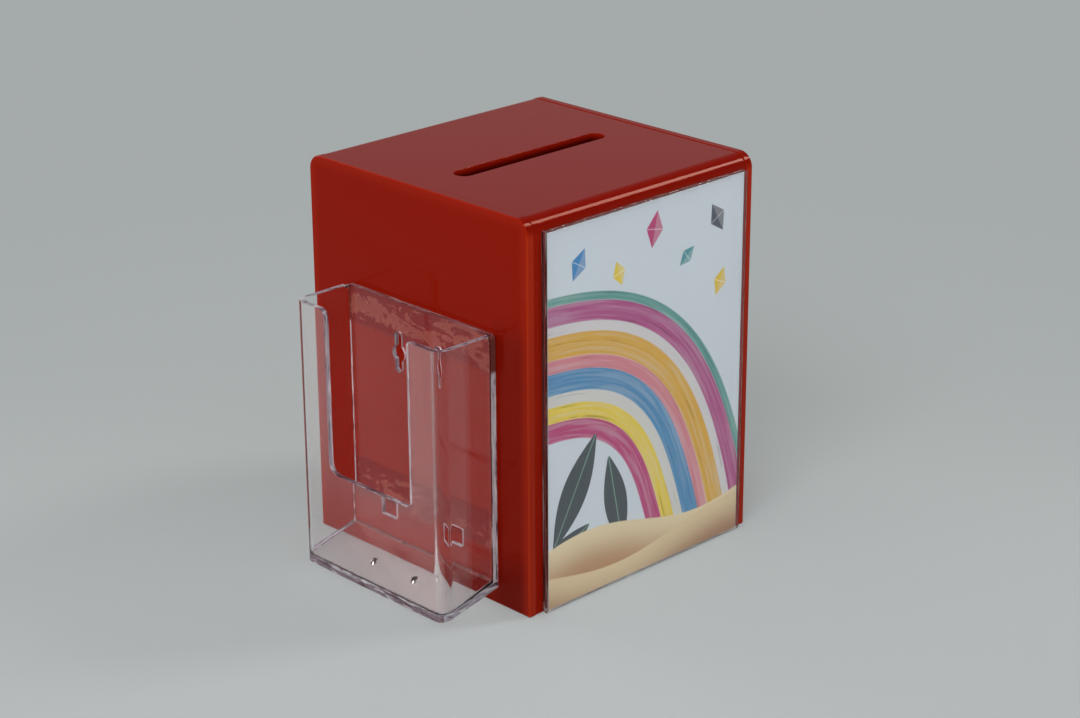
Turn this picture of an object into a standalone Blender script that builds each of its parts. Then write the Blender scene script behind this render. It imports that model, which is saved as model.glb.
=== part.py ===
"""Acrylic suggestion box with a lockable rear door, a poster pocket and a taped-on leaflet holder.

Metres. +Z is up, the poster faces -Y, the leaflet holder is on the -X side.
The origin is the middle of the base's underside.
"""
import math

import bmesh
import bpy
from mathutils import Matrix, Vector

# The box of red sheet
BOX_WIDTH = 0.170
BOX_DEPTH = 0.170
BOX_HEIGHT = 0.220
SHEET = 0.005
SIDE_CORNER_RADIUS = 0.0085
BEND_RADIUS = 0.0080
EDGE_SETBACK = 0.0003
EDGE_ROUNDING = 0.0004
SEAT_GAP = 0.0003

# The slot in the top
SLOT_LENGTH = 0.1090
SLOT_WIDTH = 0.0114
SLOT_SHIFT_X = -0.0012
SLOT_SHIFT_Y = -0.0013

# The rear lip and the door below it
REAR_LIP = 0.0312
DOOR_GAP = 0.0010
DOOR_SIDE_GAP = 0.0006
DOOR_FLOOR_GAP = 0.0008

# The hinges: two leaves of sheet steel round a pin
HINGE_WIDTH = 0.025
HINGE_EDGE_DISTANCE = 0.0115
HINGE_LEAF_HEIGHT = 0.014
HINGE_LEAF = 0.0012
KNUCKLE_RADIUS = 0.0026
KNUCKLE_GAP = 0.0003
KNUCKLE_COUNT = 5
PIN_RADIUS = 0.0012
PIN_CLEARANCE = 0.00012
PIN_OVERHANG = 0.0006
BOLT_SPACING = 0.0140

# The hinge bolts and nuts
BOLT_RADIUS = 0.0015
BOLT_CLEARANCE = 0.0003
BOLT_HEAD_RADIUS = 0.0028
BOLT_HEAD_HEIGHT = 0.0011
BOLT_END = 0.0008
NUT_WIDTH = 0.0055
NUT_THICKNESS = 0.0024

# The cam lock
LOCK_HEAD_RADIUS = 0.0100
LOCK_HEAD_HEIGHT = 0.0025
LOCK_HEAD_CHAMFER = 0.0008
BARREL_RADIUS = 0.0080
BARREL_LENGTH = 0.0170
PLUG_RADIUS = 0.0060
PLUG_FACE_RADIUS = 0.0070
PLUG_FACE_THICKNESS = 0.0012
PLUG_RECESS = 0.0003
LOCK_NUT_WIDTH = 0.0190
LOCK_NUT_THICKNESS = 0.0035
LOCK_NUT_CLEARANCE = 0.0010
DRIVE_WIDTH = 0.0070
CAM_THICKNESS = 0.0020
CAM_HUB_RADIUS = 0.0076
CAM_ARM_WIDTH = 0.0110
CAM_FLOOR_CLEARANCE = 0.0016
CAM_PLAY = 0.0006
WASHER_RADIUS = 0.0055
WASHER_THICKNESS = 0.0008
SCREW_RADIUS = 0.0015
SCREW_HEAD_RADIUS = 0.0040
SCREW_HEAD_HEIGHT = 0.0022
SCREW_REACH = 0.0050
SCREW_SLOT_WIDTH = 0.0008
SCREW_SLOT_DEPTH = 0.0009

# The key
KEY_THICKNESS = 0.0014
KEY_BLADE_HEIGHT = 0.0078
KEY_NECK_HEIGHT = 0.0100
KEY_NECK_LENGTH = 0.0022
KEY_BOW_RADIUS = 0.0090
KEY_HOLE_RADIUS = 0.0026
KEY_TIP_CHAMFER = 0.0015
KEY_TOOTH_HALF_WIDTH = 0.0009
KEY_TOOTH_DEPTH_SHARES = (0.28, 0.12, 0.36, 0.20)
KEY_HOLE_SHIFT_SHARE = 0.38
PLUG_WEB = 0.0020

# The keeper block behind which the cam turns down
KEEPER_WIDTH = 0.0240
KEEPER_DEPTH = 0.0060
KEEPER_HEIGHT = 0.0087

# The poster pocket: one clear sheet folded along its foot
PAPER_WIDTH = 0.148
PAPER_HEIGHT = 0.210
PAPER_THICKNESS = 0.0003
PAPER_CLEARANCE = 0.0003
POSTER_LEAF = 0.0016
POSTER_SIDE_MARGIN = 0.0015
POSTER_TOP_MARGIN = 0.0008
POSTER_SHIFT_X = 0.0006

# The moulded leaflet holder on the left side
HOLDER_WIDTH = 0.1150
HOLDER_DEPTH = 0.0392
HOLDER_TOP = 0.1544
HOLDER_SHIFT_Y = -0.0050
HOLDER_FRONT_CLEARANCE = 0.0018
HOLDER_FLOOR_RISE = 0.0090
HOLDER_WALL = 0.0031
HOLDER_BACK = 0.0027
HOLDER_FLOOR = 0.0038
HOLDER_CORNER_RADIUS = 0.0070
HOLDER_BACK_CORNER_RADIUS = 0.0040
HOLDER_BACK_CORNER_DEPTH = 0.0032
WINDOW_SILL = 0.0612
WINDOW_REAR_STRIP = 0.0249
WINDOW_FRONT_STRIP = 0.0245
WINDOW_SILL_REAR_RADIUS = 0.0062
WINDOW_SILL_FRONT_RADIUS = 0.0036
WINDOW_REAR_TOP_RADIUS = 0.0048
WINDOW_FRONT_TOP_RADIUS = 0.0014
KEYHOLE_SPACING = 0.0314
KEYHOLE_HEIGHT = 0.1248
KEYHOLE_RADIUS = 0.0048
KEYHOLE_SLOT_WIDTH = 0.0052
KEYHOLE_SLOT_UP = 0.0124
KEYHOLE_SLOT_DOWN = 0.0108
SQUARE_HOLE_SPACING = 0.0500
SQUARE_HOLE_WIDTH = 0.0124
SQUARE_HOLE_TOP = 0.0372
SQUARE_HOLE_HEIGHT = 0.0106
SQUARE_HOLE_RADIUS = 0.0010
DRAIN_SPACING = 0.0328
DRAIN_RADIUS = 0.0018
DRAIN_FROM_FRONT = 0.0178

# The double-sided tape behind the leaflet holder
TAPE = 0.0006
TAPE_HEIGHT = 0.0200
TAPE_TOP_MARGIN = 0.0012
TAPE_SIDE_MARGIN = 0.0010
TAPE_LOWER_BASE = 0.0330

# Shared modelling values
OVERRUN = 0.0020
ROUNDING_BITE = 0.0001
MERGE_DISTANCE = 0.00001
ARC_STEPS = 8
FINE_ARC_STEPS = 5
TURN_STEPS = 24
FASTENER_STEPS = 12
HEXAGON = 6
ROUND_PROFILE = 0.5
ROUNDING_SEGMENTS = 2
ROUNDING_ANGLE = math.radians(50)
SMOOTH_ANGLE = math.radians(32)

# Places worked out from the sizes above
SIDE_INNER_X = BOX_WIDTH / 2 - SHEET
PANEL_HALF_WIDTH = SIDE_INNER_X - SEAT_GAP
FRONT_Y = -BOX_DEPTH / 2 + EDGE_SETBACK
REAR_Y = BOX_DEPTH / 2 - EDGE_SETBACK
TOP_Z = BOX_HEIGHT - EDGE_SETBACK
LIP_FOOT_Z = TOP_Z - REAR_LIP
DOOR_TOP_Z = LIP_FOOT_Z - DOOR_GAP
DOOR_HALF_WIDTH = SIDE_INNER_X - DOOR_SIDE_GAP
HINGE_Z = LIP_FOOT_Z - DOOR_GAP / 2
HINGE_SEAT_Y = REAR_Y + SEAT_GAP
HINGE_Y = HINGE_SEAT_Y + KNUCKLE_RADIUS
HINGE_X = SIDE_INNER_X - HINGE_EDGE_DISTANCE - HINGE_WIDTH / 2
KNUCKLE_LENGTH = (HINGE_WIDTH - (KNUCKLE_COUNT - 1) * KNUCKLE_GAP) / KNUCKLE_COUNT
BOLT_RISE = (KNUCKLE_RADIUS + SEAT_GAP + HINGE_LEAF_HEIGHT) / 2
BOLT_HOLE_RADIUS = BOLT_RADIUS + BOLT_CLEARANCE
BOLT_SEAT_Y = HINGE_SEAT_Y + HINGE_LEAF + SEAT_GAP
NUT_SEAT_Y = REAR_Y - SHEET - SEAT_GAP
BOLT_LENGTH = BOLT_SEAT_Y - NUT_SEAT_Y + NUT_THICKNESS + BOLT_END
KEEPER_TOP_Z = SHEET + SEAT_GAP + KEEPER_HEIGHT
LOCK_NUT_CORNER_RADIUS = LOCK_NUT_WIDTH / (2 * math.cos(math.pi / HEXAGON))
LOCK_Z = KEEPER_TOP_Z + LOCK_NUT_CLEARANCE + LOCK_NUT_CORNER_RADIUS
LOCK_SEAT_Y = REAR_Y + SEAT_GAP
PLUG_BORE_RADIUS = PLUG_RADIUS + SEAT_GAP
FACE_BORE_RADIUS = PLUG_FACE_RADIUS + SEAT_GAP
PLUG_FRONT = LOCK_HEAD_HEIGHT - PLUG_RECESS
CAM_FRONT = -BARREL_LENGTH - CAM_PLAY
CAM_REAR = CAM_FRONT - CAM_THICKNESS
DRIVE_END = CAM_REAR + SEAT_GAP
WASHER_FRONT = CAM_REAR - SEAT_GAP
WASHER_REAR = WASHER_FRONT - WASHER_THICKNESS
SCREW_SEAT = WASHER_REAR - SEAT_GAP
SCREW_TIP = DRIVE_END + SCREW_REACH
KEYWAY_END = SCREW_TIP + SEAT_GAP + PLUG_WEB
KEY_TIP = KEYWAY_END + SEAT_GAP
CAM_REACH = LOCK_Z - SHEET - CAM_FLOOR_CLEARANCE
KEEPER_FRONT_Y = LOCK_SEAT_Y + CAM_FRONT + CAM_PLAY
POSTER_POCKET = PAPER_THICKNESS + 2 * PAPER_CLEARANCE
POSTER_BACK_Y = FRONT_Y - SEAT_GAP
POCKET_BACK_Y = POSTER_BACK_Y - POSTER_LEAF
POCKET_FRONT_Y = POCKET_BACK_Y - POSTER_POCKET
POSTER_FRONT_Y = POCKET_FRONT_Y - POSTER_LEAF
PAPER_FOOT_Z = POSTER_LEAF + PAPER_CLEARANCE
POSTER_TOP_Z = PAPER_FOOT_Z + PAPER_HEIGHT + POSTER_TOP_MARGIN
TAPE_FACE_X = -BOX_WIDTH / 2 - SEAT_GAP
HOLDER_BACK_X = TAPE_FACE_X - TAPE - SEAT_GAP
HOLDER_FRONT_X = HOLDER_BACK_X - HOLDER_DEPTH
HOLDER_FRONT_END_Y = HOLDER_SHIFT_Y - HOLDER_WIDTH / 2
HOLDER_REAR_END_Y = HOLDER_SHIFT_Y + HOLDER_WIDTH / 2

# Colours, roughness and metallic value of each material
RED_ACRYLIC = ("red_acrylic", (0.30, 0.012, 0.006), 0.12, 0.0)
CLEAR_ACRYLIC = ("clear_acrylic", (0.80, 0.82, 0.83), 0.05, 0.0)
CLEAR_STYRENE = ("clear_styrene", (0.78, 0.76, 0.79), 0.08, 0.0)
CLEAR_TAPE = ("clear_tape", (0.62, 0.45, 0.43), 0.45, 0.0)
PRINTED_CARD = ("printed_card", (0.80, 0.82, 0.86), 0.60, 0.0)
STEEL = ("zinc_steel", (0.60, 0.60, 0.58), 0.35, 1.0)
CHROME = ("chrome", (0.75, 0.75, 0.76), 0.12, 1.0)
KEY_STEEL = ("key_steel", (0.66, 0.65, 0.62), 0.28, 1.0)

# A flat outline's own x, y and thickness directions, as world directions
FACING_X = Matrix(((0, 0, 1), (1, 0, 0), (0, 1, 0))).to_4x4()
FACING_Y = Matrix(((1, 0, 0), (0, 0, -1), (0, 1, 0))).to_4x4()
# A turned piece's own z axis laid along +Y
ALONG_Y = Matrix(((1, 0, 0), (0, 0, 1), (0, -1, 0))).to_4x4()
# A cylinder's own z axis laid along +X
ALONG_X = Matrix(((0, 0, 1), (0, 1, 0), (-1, 0, 0))).to_4x4()
UPRIGHT = Matrix.Identity(4)


def clear_scene():
    """Removes every object, so that the script can run again in an open file."""
    for thing in list(bpy.data.objects):
        bpy.data.objects.remove(thing, do_unlink=True)


def new_collection(name):
    collection = bpy.data.collections.new(name)
    bpy.context.scene.collection.children.link(collection)
    return collection


def material(look):
    """The Principled material of a look, made once."""
    name, colour, roughness, metallic = look
    found = bpy.data.materials.get(name)
    if found:
        return found
    made = bpy.data.materials.new(name)
    made.use_nodes = True
    shader = made.node_tree.nodes["Principled BSDF"]
    shader.inputs["Base Color"].default_value = (*colour, 1.0)
    shader.inputs["Roughness"].default_value = roughness
    shader.inputs["Metallic"].default_value = metallic
    return made


def place(name, mesh, matrix, look):
    """Puts a mesh in the parts collection, or with no look in the cutters collection."""
    thing = bpy.data.objects.new(name, mesh)
    thing.matrix_world = matrix
    if look:
        mesh.materials.append(material(look))
        parts.objects.link(thing)
    else:
        thing.display_type = "WIRE"
        thing.hide_render = True
        cutters.objects.link(thing)
    return thing


def mesh_from(bm, name):
    """Turns a bmesh into a mesh with its faces out and its round faces smooth."""
    bmesh.ops.recalc_face_normals(bm, faces=bm.faces)
    mesh = bpy.data.meshes.new(name)
    bm.to_mesh(mesh)
    bm.free()
    mesh.shade_smooth()
    mesh.set_sharp_from_angle(angle=SMOOTH_ANGLE)
    return mesh


def block(name, low, high, look=None):
    """A box between two corners, with its origin in its middle."""
    low = Vector(low)
    high = Vector(high)
    bm = bmesh.new()
    bmesh.ops.create_cube(bm, size=1)
    bmesh.ops.scale(bm, vec=high - low, verts=bm.verts)
    return place(name, mesh_from(bm, name), Matrix.Translation((low + high) / 2), look)


def cylinder(name, radius, length, centre, turn, look=None, sides=TURN_STEPS):
    """A cylinder whose axis is turned onto a world axis."""
    bm = bmesh.new()
    bmesh.ops.create_cone(
        bm, cap_ends=True, segments=sides, radius1=radius, radius2=radius, depth=length
    )
    return place(name, mesh_from(bm, name), Matrix.Translation(centre) @ turn, look)


def turned(name, profile, centre, turn, look, closed=False, steps=TURN_STEPS):
    """A profile of (radius, height) points, run down its outer side, turned about its own z axis."""
    bm = bmesh.new()
    points = [bm.verts.new((radius, 0, height)) for radius, height in profile]
    pairs = list(zip(points, points[1:]))
    if closed:
        pairs.append((points[-1], points[0]))
    for start, end in pairs:
        bm.edges.new((start, end))
    mesh = bpy.data.meshes.new(name)
    bm.to_mesh(mesh)
    bm.free()
    thing = place(name, mesh, Matrix.Translation(centre) @ turn, look)
    screw = thing.modifiers.new("turn", "SCREW")
    screw.axis = "Z"
    screw.angle = math.radians(360)
    screw.steps = steps
    screw.render_steps = steps
    screw.use_merge_vertices = True
    screw.merge_threshold = MERGE_DISTANCE
    screw.use_smooth_shade = True
    return thing


def arc(centre, radius, start, end, steps=ARC_STEPS):
    """Points along an arc, from one angle in degrees to another."""
    points = []
    for step in range(steps + 1):
        angle = math.radians(start + (end - start) * step / steps)
        points.append((centre[0] + radius * math.cos(angle), centre[1] + radius * math.sin(angle)))
    return points


def outline(name, points, thickness, centre, turn, look=None):
    """A flat outline of thickness, centred on a place: a filled 2D curve made into a mesh."""
    curve = bpy.data.curves.new(name, "CURVE")
    curve.dimensions = "2D"
    curve.fill_mode = "BOTH"
    curve.extrude = thickness / 2
    spline = curve.splines.new("POLY")
    spline.points.add(len(points) - 1)
    for point, (across, up) in zip(spline.points, points):
        point.co = (across, up, 0, 1)
    spline.use_cyclic_u = True
    guide = bpy.data.objects.new(name + "_guide", curve)
    bpy.context.scene.collection.objects.link(guide)
    depsgraph = bpy.context.evaluated_depsgraph_get()
    filled = bpy.data.meshes.new_from_object(guide.evaluated_get(depsgraph))
    bm = bmesh.new()
    bm.from_mesh(filled)
    bmesh.ops.remove_doubles(bm, verts=bm.verts, dist=MERGE_DISTANCE)
    bpy.data.objects.remove(guide, do_unlink=True)
    bpy.data.meshes.remove(filled)
    return place(name, mesh_from(bm, name), Matrix.Translation(centre) @ turn, look)


def stadium(length, width):
    """Outline of a slot with round ends, its length along the outline's own x."""
    reach = (length - width) / 2
    return arc((reach, 0), width / 2, -90, 90) + arc((-reach, 0), width / 2, 90, 270)


def boolean(thing, other, operation):
    """Cuts or joins with a solid of the cutters collection."""
    step = thing.modifiers.new(other.name, "BOOLEAN")
    step.operation = operation
    step.solver = "EXACT"
    step.object = other


def cut(thing, cutter):
    boolean(thing, cutter, "DIFFERENCE")


def join(thing, addition):
    boolean(thing, addition, "UNION")


def round_edges(thing, width=EDGE_ROUNDING):
    """Takes the sharpness off the edges, as polishing does."""
    step = thing.modifiers.new("rounded_edges", "BEVEL")
    step.width = width
    step.segments = ROUNDING_SEGMENTS
    step.limit_method = "ANGLE"
    step.angle_limit = ROUNDING_ANGLE
    step.use_clamp_overlap = True


def bolt_hole_cutter(name, thickness, centre):
    """A cylinder along Y that cuts a bolt's hole through a thickness."""
    length = thickness + 2 * OVERRUN
    return cylinder(name, BOLT_HOLE_RADIUS, length, centre, ALONG_Y, sides=FASTENER_STEPS)


def cut_bolt_holes(panel, word, up):
    """The hinge bolts' four holes through the lip or the door."""
    for place_word, x, z in bolt_places(up):
        centre = (x, REAR_Y - SHEET / 2, z)
        cut(panel, bolt_hole_cutter(f"{word}_hole_{place_word}", SHEET, centre))


def make_wrap_panel():
    """Front, top and rear lip in one bent sheet, with the slot cut through the top."""
    inner_radius = BEND_RADIUS - SHEET
    front_bend = (FRONT_Y + BEND_RADIUS, TOP_Z - BEND_RADIUS)
    rear_bend = (REAR_Y - BEND_RADIUS, TOP_Z - BEND_RADIUS)
    points = [(FRONT_Y, 0)]
    points += arc(front_bend, BEND_RADIUS, 180, 90)
    points += arc(rear_bend, BEND_RADIUS, 90, 0)
    points += [(REAR_Y, LIP_FOOT_Z), (REAR_Y - SHEET, LIP_FOOT_Z)]
    points += arc(rear_bend, inner_radius, 0, 90)
    points += arc(front_bend, inner_radius, 90, 180)
    points.append((FRONT_Y + SHEET, 0))
    panel = outline("wrap_panel", points, 2 * PANEL_HALF_WIDTH, (0, 0, 0), FACING_X, RED_ACRYLIC)
    slot_centre = (SLOT_SHIFT_X, SLOT_SHIFT_Y, TOP_Z - SHEET / 2)
    slot = stadium(SLOT_LENGTH, SLOT_WIDTH)
    cut(panel, outline("slot_cutter", slot, SHEET + 2 * OVERRUN, slot_centre, UPRIGHT))
    cut_bolt_holes(panel, "lip", 1)
    round_edges(panel)
    return panel


def make_side_panel(name, side):
    """One flat side with round upper corners; side is -1 on the left and 1 on the right."""
    half = BOX_DEPTH / 2
    corner = half - SIDE_CORNER_RADIUS
    corner_z = BOX_HEIGHT - SIDE_CORNER_RADIUS
    points = [(-half, 0)]
    points += arc((-corner, corner_z), SIDE_CORNER_RADIUS, 180, 90)
    points += arc((corner, corner_z), SIDE_CORNER_RADIUS, 90, 0)
    points.append((half, 0))
    centre = (side * (BOX_WIDTH / 2 - SHEET / 2), 0, 0)
    panel = outline(name, points, SHEET, centre, FACING_X, RED_ACRYLIC)
    round_edges(panel)
    return panel


def make_base_panel():
    low = (-PANEL_HALF_WIDTH, FRONT_Y + SHEET + SEAT_GAP, 0)
    high = (PANEL_HALF_WIDTH, REAR_Y - SHEET - SEAT_GAP, SHEET)
    return block("base_panel", low, high, RED_ACRYLIC)


def make_lock_keeper():
    low = (-KEEPER_WIDTH / 2, KEEPER_FRONT_Y, SHEET + SEAT_GAP)
    high = (KEEPER_WIDTH / 2, KEEPER_FRONT_Y + KEEPER_DEPTH, KEEPER_TOP_Z)
    keeper = block("lock_keeper", low, high, RED_ACRYLIC)
    round_edges(keeper)
    return keeper


def make_poster_holder():
    """The clear pocket: rear leaf, a round fold at the foot and front leaf."""
    outer_radius = POSTER_LEAF + POSTER_POCKET / 2
    inner_radius = POSTER_POCKET / 2
    fold = (POCKET_FRONT_Y + inner_radius, outer_radius)
    points = [(POSTER_FRONT_Y, POSTER_TOP_Z)]
    points += arc(fold, outer_radius, 180, 360)
    points += [(POSTER_BACK_Y, POSTER_TOP_Z), (POCKET_BACK_Y, POSTER_TOP_Z)]
    points += arc(fold, inner_radius, 360, 180)
    points.append((POCKET_FRONT_Y, POSTER_TOP_Z))
    width = PAPER_WIDTH + 2 * POSTER_SIDE_MARGIN
    return outline("poster_holder", points, width, (POSTER_SHIFT_X, 0, 0), FACING_X, CLEAR_ACRYLIC)


def make_poster_card():
    back_y = POCKET_BACK_Y - PAPER_CLEARANCE
    low = (POSTER_SHIFT_X - PAPER_WIDTH / 2, back_y - PAPER_THICKNESS, PAPER_FOOT_Z)
    high = (POSTER_SHIFT_X + PAPER_WIDTH / 2, back_y, PAPER_FOOT_Z + PAPER_HEIGHT)
    return block("poster_card", low, high, PRINTED_CARD)


def is_front_upright(edge, middle_x):
    first, second = (vert.co for vert in edge.verts)
    return first.x == second.x and first.y == second.y and first.x < middle_x


def sloped_tub(name, low, high, foot_rise, radius, look=None):
    """A box between two corners whose foot rises towards the back, its upright front edges rounded."""
    bm = bmesh.new()
    bmesh.ops.create_cube(bm, size=1)
    for vert in bm.verts:
        at_front = vert.co.x < 0
        foot_z = low[2] if at_front else low[2] + foot_rise
        vert.co.x = low[0] if at_front else high[0]
        vert.co.y = low[1] if vert.co.y < 0 else high[1]
        vert.co.z = foot_z if vert.co.z < 0 else high[2]
    upright = [edge for edge in bm.edges if is_front_upright(edge, (low[0] + high[0]) / 2)]
    bmesh.ops.bevel(
        bm, geom=upright, offset=radius, segments=FINE_ARC_STEPS, profile=ROUND_PROFILE, affect="EDGES"
    )
    return place(name, mesh_from(bm, name), UPRIGHT, look)


def window_outline():
    """The opening in the holder's front wall: open at the top, round at the sill and at its tips."""
    rear_y = HOLDER_REAR_END_Y - WINDOW_REAR_STRIP
    front_y = HOLDER_FRONT_END_Y + WINDOW_FRONT_STRIP
    over_z = HOLDER_TOP + OVERRUN
    tip_top = HOLDER_TOP + ROUNDING_BITE
    rear_tip = (rear_y + WINDOW_REAR_TOP_RADIUS, tip_top - WINDOW_REAR_TOP_RADIUS)
    front_tip = (front_y - WINDOW_FRONT_TOP_RADIUS, tip_top - WINDOW_FRONT_TOP_RADIUS)
    rear_sill = (rear_y - WINDOW_SILL_REAR_RADIUS, WINDOW_SILL + WINDOW_SILL_REAR_RADIUS)
    front_sill = (front_y + WINDOW_SILL_FRONT_RADIUS, WINDOW_SILL + WINDOW_SILL_FRONT_RADIUS)
    points = [(rear_tip[0], over_z)]
    points += arc(rear_tip, WINDOW_REAR_TOP_RADIUS, 90, 180, FINE_ARC_STEPS)
    points += arc(rear_sill, WINDOW_SILL_REAR_RADIUS, 0, -90, FINE_ARC_STEPS)
    points += arc(front_sill, WINDOW_SILL_FRONT_RADIUS, -90, -180, FINE_ARC_STEPS)
    points += arc(front_tip, WINDOW_FRONT_TOP_RADIUS, 0, 90, FINE_ARC_STEPS)
    points.append((front_tip[0], over_z))
    return points


def keyhole_outline():
    """A round hole with a narrow slot above it and another below."""
    half = KEYHOLE_SLOT_WIDTH / 2
    shoulder = math.degrees(math.acos(half / KEYHOLE_RADIUS))
    points = arc((0, 0), KEYHOLE_RADIUS, -shoulder, shoulder)
    points += arc((0, KEYHOLE_SLOT_UP - half), half, 0, 180)
    points += arc((0, 0), KEYHOLE_RADIUS, 180 - shoulder, 180 + shoulder)
    points += arc((0, half - KEYHOLE_SLOT_DOWN), half, 180, 360)
    return points


def rounded_rectangle(width, height, radius):
    """Outline centred on its own zero."""
    across = width / 2 - radius
    up = height / 2 - radius
    points = arc((across, up), radius, 0, 90, FINE_ARC_STEPS)
    points += arc((-across, up), radius, 90, 180, FINE_ARC_STEPS)
    points += arc((-across, -up), radius, 180, 270, FINE_ARC_STEPS)
    points += arc((across, -up), radius, 270, 360, FINE_ARC_STEPS)
    return points


def back_corner_cutter(name, end_y, inward):
    """What is cut from an upper corner of the holder's back to leave it round."""
    radius = HOLDER_BACK_CORNER_RADIUS
    inset = radius - ROUNDING_BITE
    centre = (end_y + inward * inset, HOLDER_TOP - inset)
    points = arc(centre, radius, 180 if inward > 0 else 0, 90)
    points += [
        (centre[0], HOLDER_TOP + OVERRUN),
        (end_y - inward * OVERRUN, HOLDER_TOP + OVERRUN),
        (end_y - inward * OVERRUN, centre[1]),
    ]
    depth = HOLDER_BACK_CORNER_DEPTH + OVERRUN
    centre_x = HOLDER_BACK_X - HOLDER_BACK_CORNER_DEPTH + depth / 2
    return outline(name, points, depth, (centre_x, 0, 0), FACING_X)


def make_leaflet_holder():
    """The moulded pocket: a thin-walled tub with a window, keyholes, square holes and drain holes."""
    low = (HOLDER_FRONT_X, HOLDER_FRONT_END_Y, HOLDER_FRONT_CLEARANCE)
    high = (HOLDER_BACK_X, HOLDER_REAR_END_Y, HOLDER_TOP)
    outer_radius = HOLDER_CORNER_RADIUS
    holder = sloped_tub("leaflet_holder", low, high, HOLDER_FLOOR_RISE, outer_radius, CLEAR_STYRENE)
    low = (low[0] + HOLDER_WALL, low[1] + HOLDER_WALL, low[2] + HOLDER_FLOOR)
    high = (high[0] - HOLDER_BACK, high[1] - HOLDER_WALL, high[2] + OVERRUN)
    inner_radius = HOLDER_CORNER_RADIUS - HOLDER_WALL
    pocket = sloped_tub("pocket_cutter", low, high, HOLDER_FLOOR_RISE, inner_radius)
    cut(holder, pocket)
    wall_cut = HOLDER_WALL + 2 * OVERRUN
    window_centre = (HOLDER_FRONT_X + HOLDER_WALL / 2, 0, 0)
    cut(holder, outline("window_cutter", window_outline(), wall_cut, window_centre, FACING_X))
    back_cut = HOLDER_BACK + 2 * OVERRUN
    back_x = HOLDER_BACK_X - HOLDER_BACK / 2
    square = rounded_rectangle(SQUARE_HOLE_WIDTH, SQUARE_HOLE_HEIGHT, SQUARE_HOLE_RADIUS)
    square_z = SQUARE_HOLE_TOP - SQUARE_HOLE_HEIGHT / 2
    drain_x = HOLDER_FRONT_X + DRAIN_FROM_FRONT
    drain_z = HOLDER_FRONT_CLEARANCE + (HOLDER_FLOOR + HOLDER_FLOOR_RISE) / 2
    for side, word in ((-1, "front"), (1, "rear")):
        keyhole_centre = (back_x, HOLDER_SHIFT_Y + side * KEYHOLE_SPACING / 2, KEYHOLE_HEIGHT)
        keyhole_name = f"keyhole_cutter_{word}"
        cut(holder, outline(keyhole_name, keyhole_outline(), back_cut, keyhole_centre, FACING_X))
        square_centre = (back_x, HOLDER_SHIFT_Y + side * SQUARE_HOLE_SPACING / 2, square_z)
        cut(holder, outline(f"square_hole_cutter_{word}", square, back_cut, square_centre, FACING_X))
        drain_centre = (drain_x, HOLDER_SHIFT_Y + side * DRAIN_SPACING / 2, drain_z)
        drain_length = HOLDER_FLOOR_RISE + HOLDER_FLOOR + 2 * OVERRUN
        cut(holder, cylinder(f"drain_cutter_{word}", DRAIN_RADIUS, drain_length, drain_centre, UPRIGHT))
    cut(holder, back_corner_cutter("back_corner_cutter_front", HOLDER_FRONT_END_Y, 1))
    cut(holder, back_corner_cutter("back_corner_cutter_rear", HOLDER_REAR_END_Y, -1))
    return holder


def make_leaflet_tape(name, foot_z):
    low = (TAPE_FACE_X - TAPE, HOLDER_FRONT_END_Y + TAPE_SIDE_MARGIN, foot_z)
    high = (TAPE_FACE_X, HOLDER_REAR_END_Y - TAPE_SIDE_MARGIN, foot_z + TAPE_HEIGHT)
    return block(name, low, high, CLEAR_TAPE)


def knuckle_start(hinge_x, index):
    return hinge_x - HINGE_WIDTH / 2 + index * (KNUCKLE_LENGTH + KNUCKLE_GAP)


def make_hinge_leaf(name, hinge_x, up, own_knuckles):
    """A leaf of sheet steel curled round the pin; up is 1 for the leaf on the lip and -1 on the door."""
    leaf_outer = HINGE_LEAF - KNUCKLE_RADIUS
    curl_start = math.degrees(math.acos(leaf_outer / KNUCKLE_RADIUS))
    points = [(leaf_outer, HINGE_LEAF_HEIGHT)]
    points += arc((0, 0), KNUCKLE_RADIUS, curl_start, -180, TURN_STEPS)
    points.append((-KNUCKLE_RADIUS, HINGE_LEAF_HEIGHT))
    points = [(across, up * rise) for across, rise in points]
    leaf = outline(name, points, HINGE_WIDTH, (hinge_x, HINGE_Y, HINGE_Z), FACING_X, STEEL)
    reach = KNUCKLE_RADIUS + SEAT_GAP
    for index in range(KNUCKLE_COUNT):
        if index in own_knuckles:
            continue
        start = knuckle_start(hinge_x, index) - KNUCKLE_GAP
        end = start + KNUCKLE_LENGTH + 2 * KNUCKLE_GAP
        start = start - OVERRUN if index == 0 else start
        end = end + OVERRUN if index == KNUCKLE_COUNT - 1 else end
        low = (start, HINGE_Y - KNUCKLE_RADIUS - OVERRUN, HINGE_Z - reach)
        high = (end, HINGE_Y + KNUCKLE_RADIUS + OVERRUN, HINGE_Z + reach)
        cut(leaf, block(f"{name}_notch_{index}", low, high))
    bore_length = HINGE_WIDTH + 2 * OVERRUN
    bore_radius = PIN_RADIUS + PIN_CLEARANCE
    cut(leaf, cylinder(f"{name}_bore", bore_radius, bore_length, (hinge_x, HINGE_Y, HINGE_Z), ALONG_X))
    for across in (-1, 1):
        hole_x = hinge_x + across * BOLT_SPACING / 2
        hole_centre = (hole_x, HINGE_SEAT_Y + HINGE_LEAF / 2, HINGE_Z + up * BOLT_RISE)
        cut(leaf, bolt_hole_cutter(f"{name}_hole_{across}", HINGE_LEAF, hole_centre))
    return leaf


def make_hinge_pin(name, hinge_x):
    half = HINGE_WIDTH / 2 + PIN_OVERHANG
    profile = [(0, half), (PIN_RADIUS - EDGE_ROUNDING, half), (PIN_RADIUS, half - EDGE_ROUNDING)]
    profile += [(radius, -height) for radius, height in reversed(profile)]
    return turned(name, profile, (hinge_x, HINGE_Y, HINGE_Z), ALONG_X, STEEL)


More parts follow.
